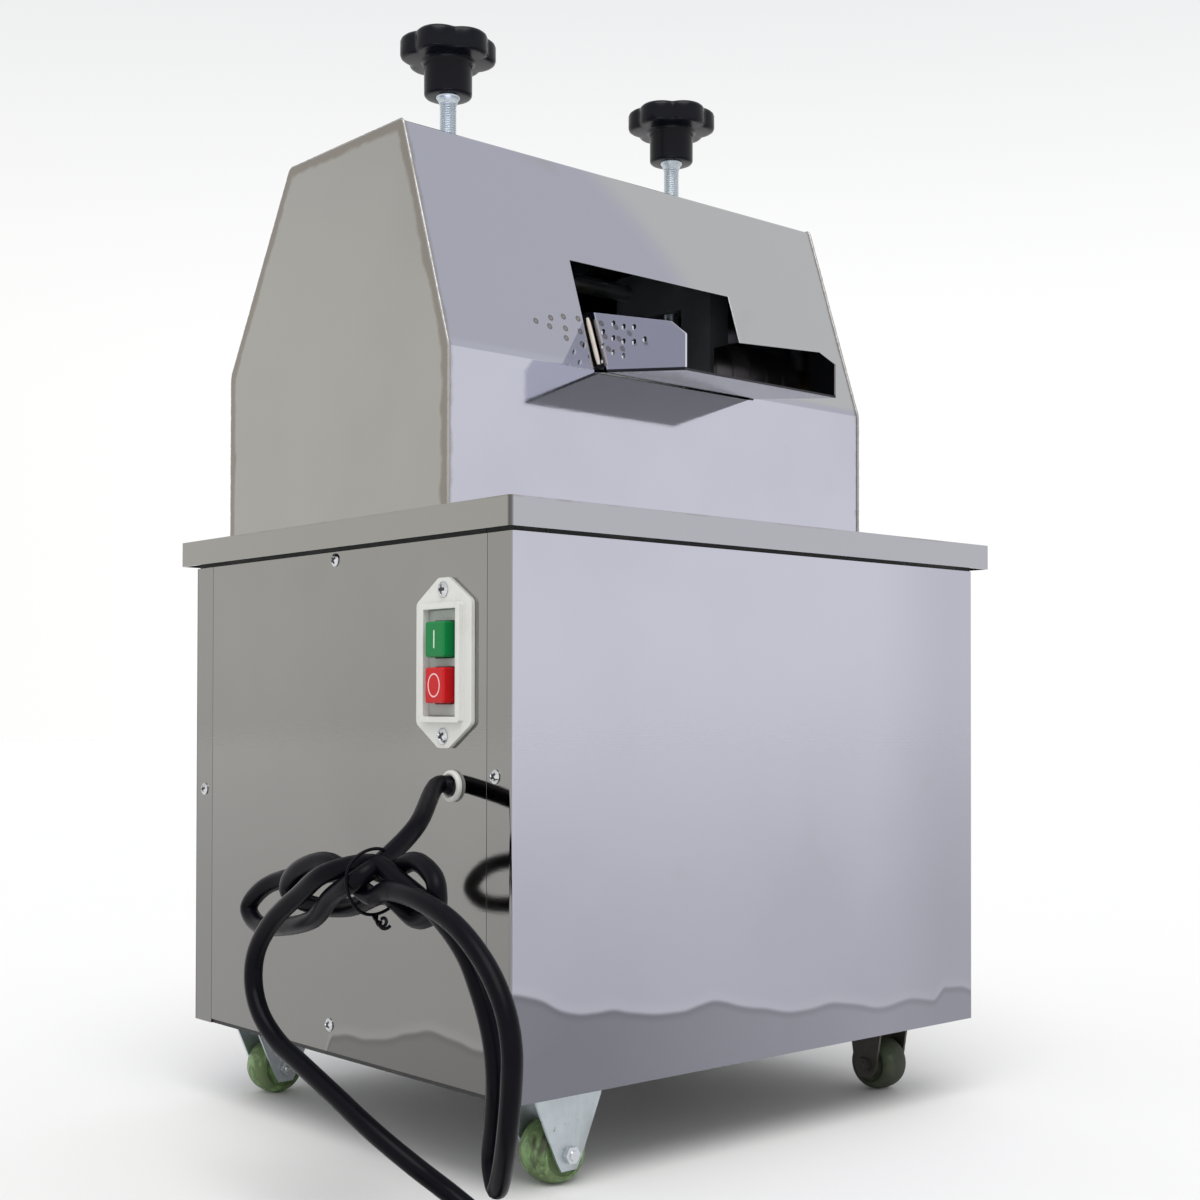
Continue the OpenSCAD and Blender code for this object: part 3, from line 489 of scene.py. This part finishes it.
# mesh helpers

def meshObject(name, vertices, faces, smooth=40):
    mesh = bpy.data.meshes.new(name)
    mesh.from_pydata([tuple(v) for v in vertices], [], faces)
    return settle(name, mesh, smooth)


def settle(name, mesh, smooth=40):
    work = bmesh.new()
    work.from_mesh(mesh)
    bmesh.ops.remove_doubles(work, verts=work.verts, dist=1e-6)
    bmesh.ops.recalc_face_normals(work, faces=work.faces)
    for face in work.faces:
        face.smooth = True
    for edge in work.edges:
        sharp = len(edge.link_faces) == 2 and edge.calc_face_angle(0) > math.radians(smooth)
        edge.smooth = not sharp
    work.to_mesh(mesh)
    work.free()
    thing = bpy.data.objects.new(name, mesh)
    bpy.context.scene.collection.objects.link(thing)
    return thing


def fit(thing, look, body, *nodes):
    # gives a piece its finish and its body, and hides the nodes that it stands for
    thing.data.materials.clear()
    thing.data.materials.append(made[look])
    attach(thing, body)
    if nodes:
        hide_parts(*nodes)
    return thing


def baked(thing):
    # a plain mesh object in place of one with modifiers or of a curve
    graph = bpy.context.evaluated_depsgraph_get()
    mesh = bpy.data.meshes.new_from_object(thing.evaluated_get(graph))
    name = thing.name
    bpy.data.objects.remove(thing)
    plain = bpy.data.objects.new(name, mesh)
    bpy.context.scene.collection.objects.link(plain)
    return plain


def softened(node, width, segments=2, smooth=35):
    # a copy of a CAD part with its loose triangles joined and its edges rounded
    mesh = frame["nodes"][node].data.copy()
    work = bmesh.new()
    work.from_mesh(mesh)
    bmesh.ops.remove_doubles(work, verts=work.verts, dist=2e-6)
    bmesh.ops.dissolve_limit(work, angle_limit=math.radians(0.6), verts=work.verts, edges=work.edges)
    work.to_mesh(mesh)
    work.free()
    thing = bpy.data.objects.new(node + "_soft", mesh)
    bpy.context.scene.collection.objects.link(thing)
    bevel = thing.modifiers.new("edges", "BEVEL")
    bevel.width = width
    bevel.segments = segments
    bevel.limit_method = "ANGLE"
    bevel.angle_limit = math.radians(smooth)
    bevel.use_clamp_overlap = True
    bevel.miter_outer = "MITER_ARC"
    for face in mesh.polygons:
        face.use_smooth = True
    weighted = thing.modifiers.new("shading", "WEIGHTED_NORMAL")
    weighted.keep_sharp = True
    thing = baked(thing)
    return fit(thing, finishOf[node], bodyOf[node], node)


def ringSkin(rings, closed=True):
    # vertices and faces of a skin over rings of equal size, with its ends capped
    count = len(rings[0])
    vertices = [point for ring in rings for point in ring]
    faces = []
    for i in range(len(rings) - 1):
        for k in range(count):
            faces.append((i * count + k, i * count + (k + 1) % count,
                          (i + 1) * count + (k + 1) % count, (i + 1) * count + k))
    if closed:
        faces.append(tuple(reversed(range(count))))
        faces.append(tuple(range((len(rings) - 1) * count, len(rings) * count)))
    return vertices, faces


# node trees for what repeats

class Tree:
    # a node group with named inputs, wired in script
    def __init__(self, name, inputs):
        self.group = bpy.data.node_groups.new(name, "GeometryNodeTree")
        face = self.group.interface
        face.new_socket("Geometry", in_out="INPUT", socket_type="NodeSocketGeometry")
        for label, kind, value in inputs:
            socket = face.new_socket(label, in_out="INPUT", socket_type="NodeSocket" + kind)
            if value is not None:
                socket.default_value = value
        face.new_socket("Geometry", in_out="OUTPUT", socket_type="NodeSocketGeometry")
        self.source = self.group.nodes.new("NodeGroupInput")
        self.sink = self.group.nodes.new("NodeGroupOutput")

    def make(self, kind, inputs=None, out=0, **settings):
        node = self.group.nodes.new(kind)
        for name, value in settings.items():
            setattr(node, name, value)
        for name, value in (inputs or {}).items():
            if isinstance(value, bpy.types.NodeSocket):
                self.group.links.new(value, node.inputs[name])
            else:
                node.inputs[name].default_value = value
        return node.outputs[out]

    def close(self, geometry, material):
        real = self.make("GeometryNodeRealizeInstances", {"Geometry": geometry})
        done = self.make("GeometryNodeSetMaterial", {"Geometry": real, "Material": material})
        self.group.links.new(done, self.sink.inputs[0])
        return self.group

    def value(self, label):
        return self.source.outputs[label]


def grown(name, group, points, values, look, body, *nodes):
    # runs a tree on a mesh of points and keeps the plain result
    mesh = bpy.data.meshes.new(name)
    mesh.from_pydata([tuple(p) for p in points], [(i, i + 1) for i in range(len(points) - 1)], [])
    thing = bpy.data.objects.new(name, mesh)
    bpy.context.scene.collection.objects.link(thing)
    run = thing.modifiers.new("tree", "NODES")
    run.node_group = group
    for item in group.interface.items_tree:
        if item.in_out == "INPUT" and item.name in values:
            run[item.identifier] = values[item.name]
    thing = baked(thing)
    return fit(thing, look, body, *nodes)


def scatterTree(name, turned):
    # one copied piece on each point, each turned by its own seeded amount about its axis
    tree = Tree(name, [("Piece", "Object", None), ("Turn", "Vector", (0, 0, 0)), ("Seed", "Int", 1),
                       ("Finish", "Material", None)])
    piece = tree.make("GeometryNodeObjectInfo", {"Object": tree.value("Piece")}, out="Geometry")
    points = tree.make("GeometryNodeMeshToPoints", {"Mesh": tree.value("Geometry")})
    copies = tree.make("GeometryNodeInstanceOnPoints", {
        "Points": points, "Instance": piece, "Rotation": tree.value("Turn")})
    if turned:
        amount = tree.make("FunctionNodeRandomValue", {"Min": -turned, "Max": turned,
                                                       "Seed": tree.value("Seed")}, out=1)
        angle = tree.make("ShaderNodeCombineXYZ", {"Z": amount})
        copies = tree.make("GeometryNodeRotateInstances", {
            "Instances": copies, "Rotation": angle, "Local Space": True})
    return tree.close(copies, tree.value("Finish"))


def beadTree(name):
    # a lumpy bead of weld along a line
    tree = Tree(name, [("Radius", "Float", 0.001), ("Lumps", "Float", 0.0004), ("Step", "Float", 0.0015),
                       ("Finish", "Material", None)])
    line = tree.make("GeometryNodeMeshToCurve", {"Mesh": tree.value("Geometry")})
    line = tree.make("GeometryNodeResampleCurve", {"Curve": line, "Length": tree.value("Step")}, mode="LENGTH")
    ripple = tree.make("ShaderNodeTexNoise", {"Scale": 420.0, "Detail": 2.0})
    radius = tree.make("ShaderNodeMath", {0: ripple, 1: tree.value("Lumps")}, operation="MULTIPLY")
    radius = tree.make("ShaderNodeMath", {0: radius, 1: tree.value("Radius")}, operation="ADD")
    line = tree.make("GeometryNodeSetCurveRadius", {"Curve": line, "Radius": radius})
    ring = tree.make("GeometryNodeCurvePrimitiveCircle", {"Resolution": 8, "Radius": 1.0})
    tube = tree.make("GeometryNodeCurveToMesh", {
        "Curve": line, "Profile Curve": ring, "Scale": radius, "Fill Caps": True})
    return tree.close(tube, tree.value("Finish"))


# camera, light and floor

view = {"place": (-0.8438, -0.9729, 0.2910), "yaw": 48.594, "pitch": 0.747, "roll": 0.119,
        "lens": 51.0, "shift": 0.0728}


def makeCamera():
    data = bpy.data.cameras.new("viewCamera")
    data.lens = view["lens"]
    data.sensor_width = 36
    data.shift_y = view["shift"]
    data.clip_start = 0.02
    data.clip_end = 100
    thing = bpy.data.objects.new("viewCamera", data)
    thing.location = view["place"]
    turn = Euler((math.radians(90 + view["pitch"]), 0, math.radians(view["yaw"] - 90)), "XYZ").to_matrix()
    roll = Euler((0, 0, math.radians(view["roll"])), "XYZ").to_matrix()
    thing.rotation_euler = (turn @ roll).to_euler()
    bpy.context.scene.collection.objects.link(thing)
    bpy.context.scene.camera = thing


studioLight = {"energy": 1.75, "spread": 45, "colour": (1.0, 0.99, 0.97), "towards": (0.35, 0.42, -1.0),
               "skyStrength": 1.02, "sky": (1.0, 1.0, 1.0), "behind": (0.90, 0.895, 0.875),
               "overhead": (0.74, 0.745, 0.76)}


def makeLight():
    # a wide soft sun, and a pale sky that is a little duller overhead and behind the left side
    lamp = bpy.data.lights.new("softSun", "SUN")
    lamp.energy = studioLight["energy"]
    lamp.angle = math.radians(studioLight["spread"])
    lamp.color = studioLight["colour"]
    thing = bpy.data.objects.new("softSun", lamp)
    thing.rotation_euler = Vector(studioLight["towards"]).to_track_quat("-Z", "Y").to_euler()
    bpy.context.scene.collection.objects.link(thing)
    world = bpy.data.worlds.new("studio")
    bpy.context.scene.world = world
    world.use_nodes = True
    s = Shader(world.node_tree)
    way = s.make("ShaderNodeTexCoord", out="Generated")

    def towards(x, y, z):
        return s.make("ShaderNodeVectorMath", {0: way, 1: (x, y, z)}, out="Value", operation="DOT_PRODUCT")

    sky = s.blend(s.fade(towards(-0.66, 0.75, 0), 0.2, 0.95), studioLight["sky"], studioLight["behind"])
    sky = s.blend(s.fade(towards(0, 0, 1), 0.16, 0.55), sky, studioLight["overhead"])
    back = s.make("ShaderNodeBackground", {"Color": sky, "Strength": studioLight["skyStrength"]})
    s.make("ShaderNodeOutputWorld", {"Surface": back})


floorLook = {"half": 14, "pale": (0.80, 0.80, 0.80), "worn": (0.76, 0.76, 0.755), "roughness": 0.7}


def makeFloor():
    half = floorLook["half"]
    thing = meshObject("floor", [(-half, -half, 0), (half, -half, 0), (half, half, 0), (-half, half, 0)],
                       [(0, 1, 2, 3)])
    thing.data.materials.append(finish("floorPale", lambda s: {
        "Base Color": s.blend(s.grain(3, 3) * 0.2, floorLook["pale"], floorLook["worn"]),
        "Roughness": floorLook["roughness"]}))


makeCamera()
makeLight()
makeFloor()
bpy.context.scene.view_settings.view_transform = "Standard"
print("camera, light and floor made")


# cord and its tie

cordFacts = {"diameter": 0.011, "exit": (-0.224, -0.133, 0.244), "between": 6}
cordPoints = [
    (-224, -133, 244), (-236, -133, 244), (-276, -171, 225), (-307, -186, 209), (-328, -190, 199),
    (-328, -163, 187), (-322, -134, 171), (-316, -92, 162), (-311, -54, 159), (-309, -38, 168),
    (-307, -52, 181), (-304, -77, 189), (-304, -123, 195), (-305, -163, 200), (-308, -187, 200),
    (-306, -210, 208), (-308, -230, 202), (-310, -237, 193), (-308, -232, 183), (-306, -212, 177),
    (-309, -187, 188), (-307, -150, 178), (-310, -116, 176), (-315, -95, 183), (-319, -112, 197),
    (-319, -147, 204), (-321, -189, 189), (-322, -209, 193), (-325, -242, 191), (-326, -275, 181),
    (-326, -300, 164), (-326, -315, 145), (-326, -321, 126), (-323, -317, 105), (-318, -308, 81),
    (-310, -294, 59), (-302, -279, 44), (-301, -273, 58), (-306, -282, 80), (-312, -291, 105),
    (-312, -287, 126), (-312, -277, 147), (-312, -263, 166), (-312, -237, 184), (-315, -209, 198),
    (-318, -188, 206), (-333, -164, 200), (-334, -138, 186), (-335, -111, 169), (-335, -93, 150),
    (-335, -89, 131), (-336, -99, 114), (-335, -117, 100), (-334, -140, 91), (-332, -170, 79),
    (-328, -203, 64), (-319, -229, 49), (-305, -248, 33), (-299, -272, 20), (-304, -294, 10),
    (-320, -309, 6), (-345, -310, 6), (-368, -298, 6), (-390, -276, 6),
]


def smoothRoute(points, between):
    # a curve through the points, with its tangents set by the neighbours
    route = [Vector(p) / 1000 for p in points]
    out = []
    for i in range(len(route) - 1):
        a = route[max(i - 1, 0)]
        b, c = route[i], route[i + 1]
        d = route[min(i + 2, len(route) - 1)]
        for step in range(between):
            t = step / between
            out.append(0.5 * (2 * b + (c - a) * t + (2 * a - 5 * b + 4 * c - d) * t * t
                              + (3 * b - a - 3 * c + d) * t * t * t))
    out.append(route[-1])
    return out


def makeCord():
    route = smoothRoute(cordPoints, cordFacts["between"])
    data = bpy.data.curves.new("mains_cord", "CURVE")
    data.dimensions = "3D"
    data.bevel_depth = cordFacts["diameter"] / 2
    data.bevel_resolution = 5
    data.use_fill_caps = True
    spline = data.splines.new("POLY")
    spline.points.add(len(route) - 1)
    for place, point in zip(spline.points, route):
        place.co = (*point, 1)
    spline.use_smooth = True
    thing = bpy.data.objects.new("mains_cord", data)
    bpy.context.scene.collection.objects.link(thing)
    thing.data.materials.append(made["cordRubber"])
    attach(thing, "chassis")
    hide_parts("cord_run")
    length = sum((b - a).length for a, b in zip(route, route[1:]))
    print("cord length", round(length, 3))
    return thing, length


mainsCord, cordLength = makeCord()


tieShape = {"centre": (-0.317, -0.188, 0.196), "radius": 0.0182, "wave": 0.001, "sides": 60,
            "wire": 0.00095, "turns": 1.4, "spread": 0.0011, "open": 0.6, "flare": 0.006}


def makeTie():
    # coated wire pulled round the bundle, its ends twisted together under it
    centre, radius = Vector(tieShape["centre"]), tieShape["radius"]
    ring = [centre + Vector((math.cos(a) * radius, math.sin(a * 3) * tieShape["wave"], math.sin(a) * radius))
            for a in (math.tau * i / tieShape["sides"] for i in range(tieShape["sides"]))]
    pieces = [(ring, True)]
    for side in (0, math.pi):
        tail = []
        for i in range(26):
            t = i / 25
            a = side + t * math.tau * tieShape["turns"]
            spread = tieShape["spread"] + max(0, t - tieShape["open"]) * tieShape["flare"]
            tail.append(centre + Vector((0.001 - 0.004 * t + math.cos(a) * spread, 0.001 - 0.017 * t,
                                         -radius - 0.0045 * math.sin(t * 2.6) + math.sin(a) * spread)))
        pieces.append((tail, False))
    data = bpy.data.curves.new("cord_tie_wire", "CURVE")
    data.dimensions = "3D"
    data.bevel_depth = tieShape["wire"]
    data.bevel_resolution = 3
    data.use_fill_caps = True
    for points, closed in pieces:
        spline = data.splines.new("POLY")
        spline.points.add(len(points) - 1)
        for place, point in zip(spline.points, points):
            place.co = (*point, 1)
        spline.use_cyclic_u = closed
    thing = bpy.data.objects.new("cord_tie_wire", data)
    bpy.context.scene.collection.objects.link(thing)
    return fit(baked(thing), "cordRubber", "chassis", "cord_tie")


tieWire = makeTie()
print("cord made")


# knobs and pressure screws

knobShape = {"radius": 0.035, "groove": 0.00546, "lobes": 6, "bottom": 0.7618, "top": 0.7785,
             "hubBottom": 0.736, "seat": 0.0094, "sides": 144}


def makeKnob(node, x, y, turn):
    k = knobShape

    def lobed(angle, inset):
        wave = math.cos(k["lobes"] / 2 * (angle - math.radians(turn))) ** 2
        return k["radius"] - k["groove"] * (1 - ((wave + 0.02) / 1.02) ** 0.4) - inset

    # radius of the round shape, inset of the lobed one, share of the lobed one, height
    steps = [
        (0.0001, 0, 0, k["hubBottom"] + 0.004), (k["seat"], 0, 0, k["hubBottom"] + 0.004),
        (k["seat"], 0, 0, k["hubBottom"]), (0.0150, 0, 0, k["hubBottom"]),
        (0.0166, 0, 0, k["hubBottom"] + 0.0005), (0.0173, 0, 0, k["hubBottom"] + 0.0014),
        (0.0175, 0, 0, k["hubBottom"] + 0.003), (0.0175, 0, 0, k["bottom"] - 0.0035),
        (0.0180, 0, 0, k["bottom"] - 0.0014), (0.0194, 0, 0, k["bottom"] - 0.0002),
        (0.0210, 0, 0, k["bottom"]), (0, 0.0042, 1, k["bottom"]), (0, 0.0020, 1, k["bottom"] + 0.0003),
        (0, 0.0007, 1, k["bottom"] + 0.0012), (0, 0, 1, k["bottom"] + 0.0030), (0, 0, 1, k["top"] - 0.0042),
        (0, 0.0008, 1, k["top"] - 0.0022), (0, 0.0024, 1, k["top"] - 0.0009), (0, 0.0050, 1, k["top"] - 0.0003),
        (0, 0.0100, 1, k["top"]), (0.016, 0, 0, k["top"]), (0.0125, 0, 0, k["top"] - 0.0004),
        (0.0118, 0, 0, k["top"] - 0.0012), (0.0001, 0, 0, k["top"] - 0.0012)]
    rings = []
    for radius, inset, share, z in steps:
        ring = []
        for i in range(k["sides"]):
            a = math.tau * i / k["sides"]
            r = radius * (1 - share) + lobed(a, inset) * share
            ring.append((x + r * math.cos(a), y + r * math.sin(a), z))
        rings.append(ring)
    return fit(meshObject(node + "_moulding", *ringSkin(rings), smooth=50), "knobBlack", bodyOf[node], node)


screwShape = {"radius": 0.00605, "root": 0.0054, "pitch": 0.00175, "bottom": 0.5897, "top": 0.742,
              "threadBottom": 0.602, "collar": 0.009, "sides": 40, "perPitch": 6}


def makeScrew(node, x, y):
    # a rolled thread as a grid over the turn and the height, with a flanged collar under the knob
    s = screwShape
    lift = s["pitch"] / s["perPitch"]
    count = int((s["top"] - s["threadBottom"]) / lift)
    rings = [[(x + s["root"] * math.cos(a), y + s["root"] * math.sin(a), s["bottom"])
              for a in (math.tau * i / s["sides"] for i in range(s["sides"]))]]
    for step in range(count + 1):
        z = s["threadBottom"] + step * lift
        ring = []
        for i in range(s["sides"]):
            turn = i / s["sides"]
            phase = ((z - s["threadBottom"]) / s["pitch"] - turn) % 1
            wave = 0.5 + 0.5 * math.cos(math.tau * phase)
            r = s["root"] + (s["radius"] - s["root"]) * min(1, wave * 1.25)
            ring.append((x + r * math.cos(math.tau * turn), y + r * math.sin(math.tau * turn), z))
        rings.append(ring)
    vertices, faces = ringSkin(rings)
    c = s["collar"]
    z0 = knobShape["hubBottom"]
    band = [(0.0001, z0 + 0.004), (c, z0 + 0.004), (c, z0 - 0.0002), (c - 0.0006, z0 - 0.0010),
            (s["radius"] + 0.0014, z0 - 0.0020), (s["radius"] + 0.0004, z0 - 0.0050), (0.0001, z0 - 0.0056)]
    cuff = [[(x + r * math.cos(a), y + r * math.sin(a), z)
             for a in (math.tau * i / s["sides"] for i in range(s["sides"]))] for r, z in band]
    more, moreFaces = ringSkin(cuff)
    start = len(vertices)
    vertices += more
    faces += [tuple(start + i for i in face) for face in moreFaces]
    return fit(meshObject(node + "_thread", vertices, faces, smooth=60), "screwZinc", bodyOf[node], node)


for side, x, turn in (("left", -0.1125, 33), ("right", 0.1125, 18)):
    makeKnob(side + "_knob", x, 0.025, turn)
    makeScrew(side + "_screw", x, 0.025)
print("knobs and screws made")


# pan head screws

panHead = {"rings": 22, "sides": 64, "height": 0.0023, "shank": 0.002, "length": 0.006, "reach": 0.62,
           "slot": 0.19, "deep": 0.0012}


def makeHead(name, radius):
    # a domed head with a cross recess, lying on the origin and pointing down the axis
    h = panHead
    angles = [math.tau * i / h["sides"] for i in range(h["sides"])]
    rings = [[(h["shank"] * math.cos(a), h["shank"] * math.sin(a), h["length"]) for a in angles]]
    pits = [0.0] * h["sides"]
    profile = [(h["shank"], -0.00005), (radius - 0.0002, -0.00005), (radius, -0.0003), (radius, -0.0007)]
    profile += [(radius * (1 - i / h["rings"]) + 0.00002 * (i == h["rings"]),
                 -0.0007 - (h["height"] - 0.0007) * math.sin(math.pi / 2 * min(1, 1.5 * i / h["rings"])))
                for i in range(1, h["rings"] + 1)]
    for r, z in profile:
        ring = []
        for a in angles:
            px, py = r * math.cos(a), r * math.sin(a)
            narrow, far = sorted((abs(px), abs(py)))
            reach = radius * h["reach"]
            wide = h["slot"] * radius * (1.25 - 0.45 * far / reach)
            pit = max(0, min(1, (wide - narrow) * 5000 + 0.5)) * max(0, min(1, (reach - far) * 4000 + 0.5))
            ring.append((px, py, z + h["deep"] * pit))
            pits.append(pit)
        rings.append(ring)
    vertices, faces = ringSkin(rings)
    thing = meshObject(name, vertices, faces, smooth=32)
    layer = thing.data.attributes.new("pit", "FLOAT", "POINT")
    for i, vertex in enumerate(thing.data.vertices):
        nearest = min(range(len(vertices)), key=lambda k: (Vector(vertices[k]) - vertex.co).length_squared) \
            if len(thing.data.vertices) != len(vertices) else i
        layer.data[i].value = pits[nearest]
    thing.hide_render = True
    return thing


def makePanelScrews():
    places = {"face": 0.223, "side": [(0.178, 0.231), (-0.175, 0.251), (0.005, 0.079), (0.0, 0.391)],
              "plate": [(-0.1266, 0.2745), (-0.1266, 0.3645)]}
    small, large = makeHead("smallHead", 0.0044), makeHead("largeHead", 0.0050)
    tree = scatterTree("screwScatter", math.pi)
    sets = [
        ("left_panel_screws", small, [(-places["face"], y, z) for y, z in places["side"]], math.pi / 2, 4),
        ("right_panel_screws", small, [(places["face"], y, z) for y, z in places["side"]], -math.pi / 2, 9),
        ("switch_plate_screws", large, [(-places["face"] - 0.003, y, z) for y, z in places["plate"]],
         math.pi / 2, 6)]
    for index, (name, head, points, turn, seed) in enumerate(sets):
        grown(name, tree, points, {"Piece": head, "Turn": (0, turn, 0), "Seed": seed,
                                   "Finish": made["zincHead"]}, "zincHead", "chassis",
              *(["panel_screws"] if index == 0 else []))
    for head in (small, large):
        bpy.data.objects.remove(head)


makePanelScrews()
print("panel screws made")


stripShape = {"foot": (-0.0745, -0.0985, 0.5280), "head": (-0.0745, -0.0865, 0.5620), "wide": 0.0014,
              "thick": 0.0018, "taper": 0.35, "sides": 20, "rings": 12}


def makeChuteStrip():
    # an edge strip in the slot between the mouth and the chute's left wall
    foot, head = Vector(stripShape["foot"]), Vector(stripShape["head"])
    rings = []
    for i in range(stripShape["rings"] + 1):
        t = i / stripShape["rings"]
        centre = foot.lerp(head, t)
        swell = 1.0 - stripShape["taper"] * abs(2 * t - 1) ** 6
        wide, thick = stripShape["wide"] * swell, stripShape["thick"] * swell
        rings.append([(centre.x + wide * math.cos(a), centre.y + thick * math.sin(a), centre.z)
                      for a in (math.tau * k / stripShape["sides"] for k in range(stripShape["sides"]))])
    fit(meshObject("chute_edge_strip", *ringSkin(rings), smooth=50), "stripPlastic", "chassis")


makeChuteStrip()


# switch

def roundedBlock(name, low, high, radius, look, body, *nodes):
    work = bmesh.new()
    bmesh.ops.create_cube(work, size=1)
    for vertex in work.verts:
        for axis in range(3):
            vertex.co[axis] = (low[axis] + high[axis]) / 2 + vertex.co[axis] * (high[axis] - low[axis])
    mesh = bpy.data.meshes.new(name)
    work.to_mesh(mesh)
    work.free()
    thing = bpy.data.objects.new(name, mesh)
    bpy.context.scene.collection.objects.link(thing)
    bevel = thing.modifiers.new("edges", "BEVEL")
    bevel.width = radius
    bevel.segments = 5
    for face in mesh.polygons:
        face.use_smooth = True
    thing.modifiers.new("shading", "WEIGHTED_NORMAL")
    return fit(baked(thing), look, body, *nodes)


buttonShape = {"round": 0.0016, "markFace": 0.00012, "barHalf": (0.0006, 0.0055), "ringWide": 0.0062,
               "ringTall": 0.0074, "stroke": 0.0009}


def makeMark(name, node, tall, wide, stroke, look):
    # a flat painted mark on the face of a button
    low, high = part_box(node)
    y, z = (low[1] + high[1]) / 2, (low[2] + high[2]) / 2
    x = low[0] - buttonShape["markFace"]
    count = 48
    rings = []
    for radiusY, radiusZ in ((wide, tall), (wide - stroke, tall - stroke)):
        rings.append([(x, y + radiusY * math.cos(a), z + radiusZ * math.sin(a))
                      for a in (math.tau * i / count for i in range(count))])
    deep = [[(px + 0.0004, py, pz) for px, py, pz in ring] for ring in rings]
    order = [deep[0], rings[0], rings[1], deep[1], deep[0]]
    vertices, faces = ringSkin(order, closed=False)
    return fit(meshObject(name, vertices, faces), look, bodyOf[node])


def makeSwitch():
    softened("switch_plate", 0.0011, 3)
    softened("switch_body", 0.0005, 2)
    for node, look in (("start_button", "greenPlastic"), ("stop_button", "redPlastic")):
        low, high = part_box(node)
        roundedBlock(node + "_cap", low, high, buttonShape["round"], look, bodyOf[node], node)
    makeMark("stop_mark", "stop_button", buttonShape["ringTall"], buttonShape["ringWide"],
             buttonShape["stroke"], "markRed")
    low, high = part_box("start_button")
    y, z = (low[1] + high[1]) / 2, (low[2] + high[2]) / 2
    half = buttonShape["barHalf"]
    roundedBlock("start_mark", (low[0] - buttonShape["markFace"], y - half[0], z - half[1]),
                 (low[0] + 0.0004, y + half[0], z + half[1]), 0.00005, "markGreen", bodyOf["start_button"])


makeSwitch()
print("switch made")


# gland

glandShape = {"centre": (-0.223, -0.133, 0.244), "hole": 0.0062, "lip": 0.0098, "neck": 0.008, "deep": 0.009,
              "stand": 0.0016, "roll": 0.0018}


def makeGland():
    # a snap-in ring with a rolled lip
    centre = Vector(glandShape["centre"])
    hole, lip, neck, deep, stand, roll = (glandShape[k] for k in ("hole", "lip", "neck", "deep", "stand", "roll"))
    profile = [(hole, deep), (hole, -stand)]
    for i in range(9):
        a = math.pi * i / 8
        profile.append((hole + roll - roll * math.cos(a), -stand - stand * math.sin(a)))
    profile += [(lip, -0.0014), (lip, -0.0002), (neck, 0), (neck, deep)]
    rings = [[(centre.x + d, centre.y + r * math.cos(a), centre.z + r * math.sin(a))
              for a in (math.tau * i / 56 for i in range(56))] for r, d in profile]
    vertices, faces = ringSkin(rings + [rings[0]], closed=False)
    fit(meshObject("cord_gland_ring", vertices, faces, smooth=50), "glandPlastic", "chassis", "cord_gland")


makeGland()


# casters

wheelShape = {"radius": 0.020, "half": 0.013, "bore": 0.0031, "sides": 72}


def makeWheel(node):
    # a moulded wheel with a crowned tread and dished sides
    low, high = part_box(node)
    centre = [(a + b) / 2 for a, b in zip(low, high)]
    along = 1 if high[1] - low[1] < high[0] - low[0] else 0
    w = wheelShape
    profile = [(w["bore"], -w["half"]), (0.0080, -w["half"]), (0.0088, -w["half"] + 0.0006),
               (0.0094, -w["half"] + 0.0022), (0.0110, -w["half"] + 0.0026), (0.0132, -w["half"] + 0.0020),
               (0.0142, -w["half"] + 0.0008)]
    for i in range(15):
        a = math.pi * i / 14
        profile.append((0.0142 + (w["radius"] - 0.0142) * math.sin(a) ** 0.75,
                        -(w["half"] - 0.0006) * math.cos(a)))
    profile += [(r, -d) for r, d in reversed(profile[:7])]
    rings = []
    for r, d in profile + [profile[0]]:
        ring = []
        for i in range(w["sides"]):
            a = math.tau * i / w["sides"]
            side = [r * math.cos(a), r * math.cos(a), r * math.sin(a)]
            side[along] = d
            ring.append(tuple(c + s for c, s in zip(centre, side)))
        rings.append(ring)
    vertices, faces = ringSkin(rings, closed=False)
    return fit(meshObject(node + "_moulding", vertices, faces, smooth=50), "wheelGreen", bodyOf[node], node)


for wheel in nodeFinish["wheelGreen"]:
    makeWheel(wheel)
for node, width in (("rigid_brackets", 0.0009), ("front_right_fork", 0.0006), ("back_right_fork", 0.0006),
                    ("swivel_plates", 0.0007), ("rigid_axles", 0.0005)):
    softened(node, width, 2)
print("casters made")


# sheet metal

sheetEdges = {"front_panel": 0.0004, "back_panel": 0.0004, "left_panel": 0.0004, "right_panel": 0.0004,
              "tabletop": 0.0012, "hood_left_end": 0.0006, "hood_right_end": 0.0006, "hood_wrap": 0.0005,
              "feed_chute": 0.0004, "bagasse_chute": 0.0004}
for node, width in sheetEdges.items():
    softened(node, width, 2, 30)


def makeWelds():
    # a ground bead round each end of the hood, where the end plate meets the folded wrap
    h = hoodOutline
    corners = [Vector((h["front"], 0.4165)), Vector((h["front"], h["kinkFront"])),
               Vector((h["topFront"], h["top"])), Vector((h["topBack"], h["top"])),
               Vector((h["back"], h["kinkBack"])), Vector((h["back"], 0.4165))]
    tree = beadTree("weldBead")
    for name, x in (("left_hood_weld", -0.2008), ("right_hood_weld", 0.2008)):
        line = []
        for i, corner in enumerate(corners):
            if i in (0, len(corners) - 1):
                line.append(corner)
                continue
            before, after = corners[i - 1] - corner, corners[i + 1] - corner
            line += [corner + before.normalized() * 0.0016, corner + after.normalized() * 0.0016]
        points = [(x, p.x, p.y) for p in line]
        bead = grown(name, tree, points, {"Radius": 0.0008, "Lumps": 0.0008, "Finish": made["weldBead"]},
                     "weldBead", "chassis")
        for face in bead.data.polygons:
            face.use_smooth = True


makeWelds()
print("sheet metal made")
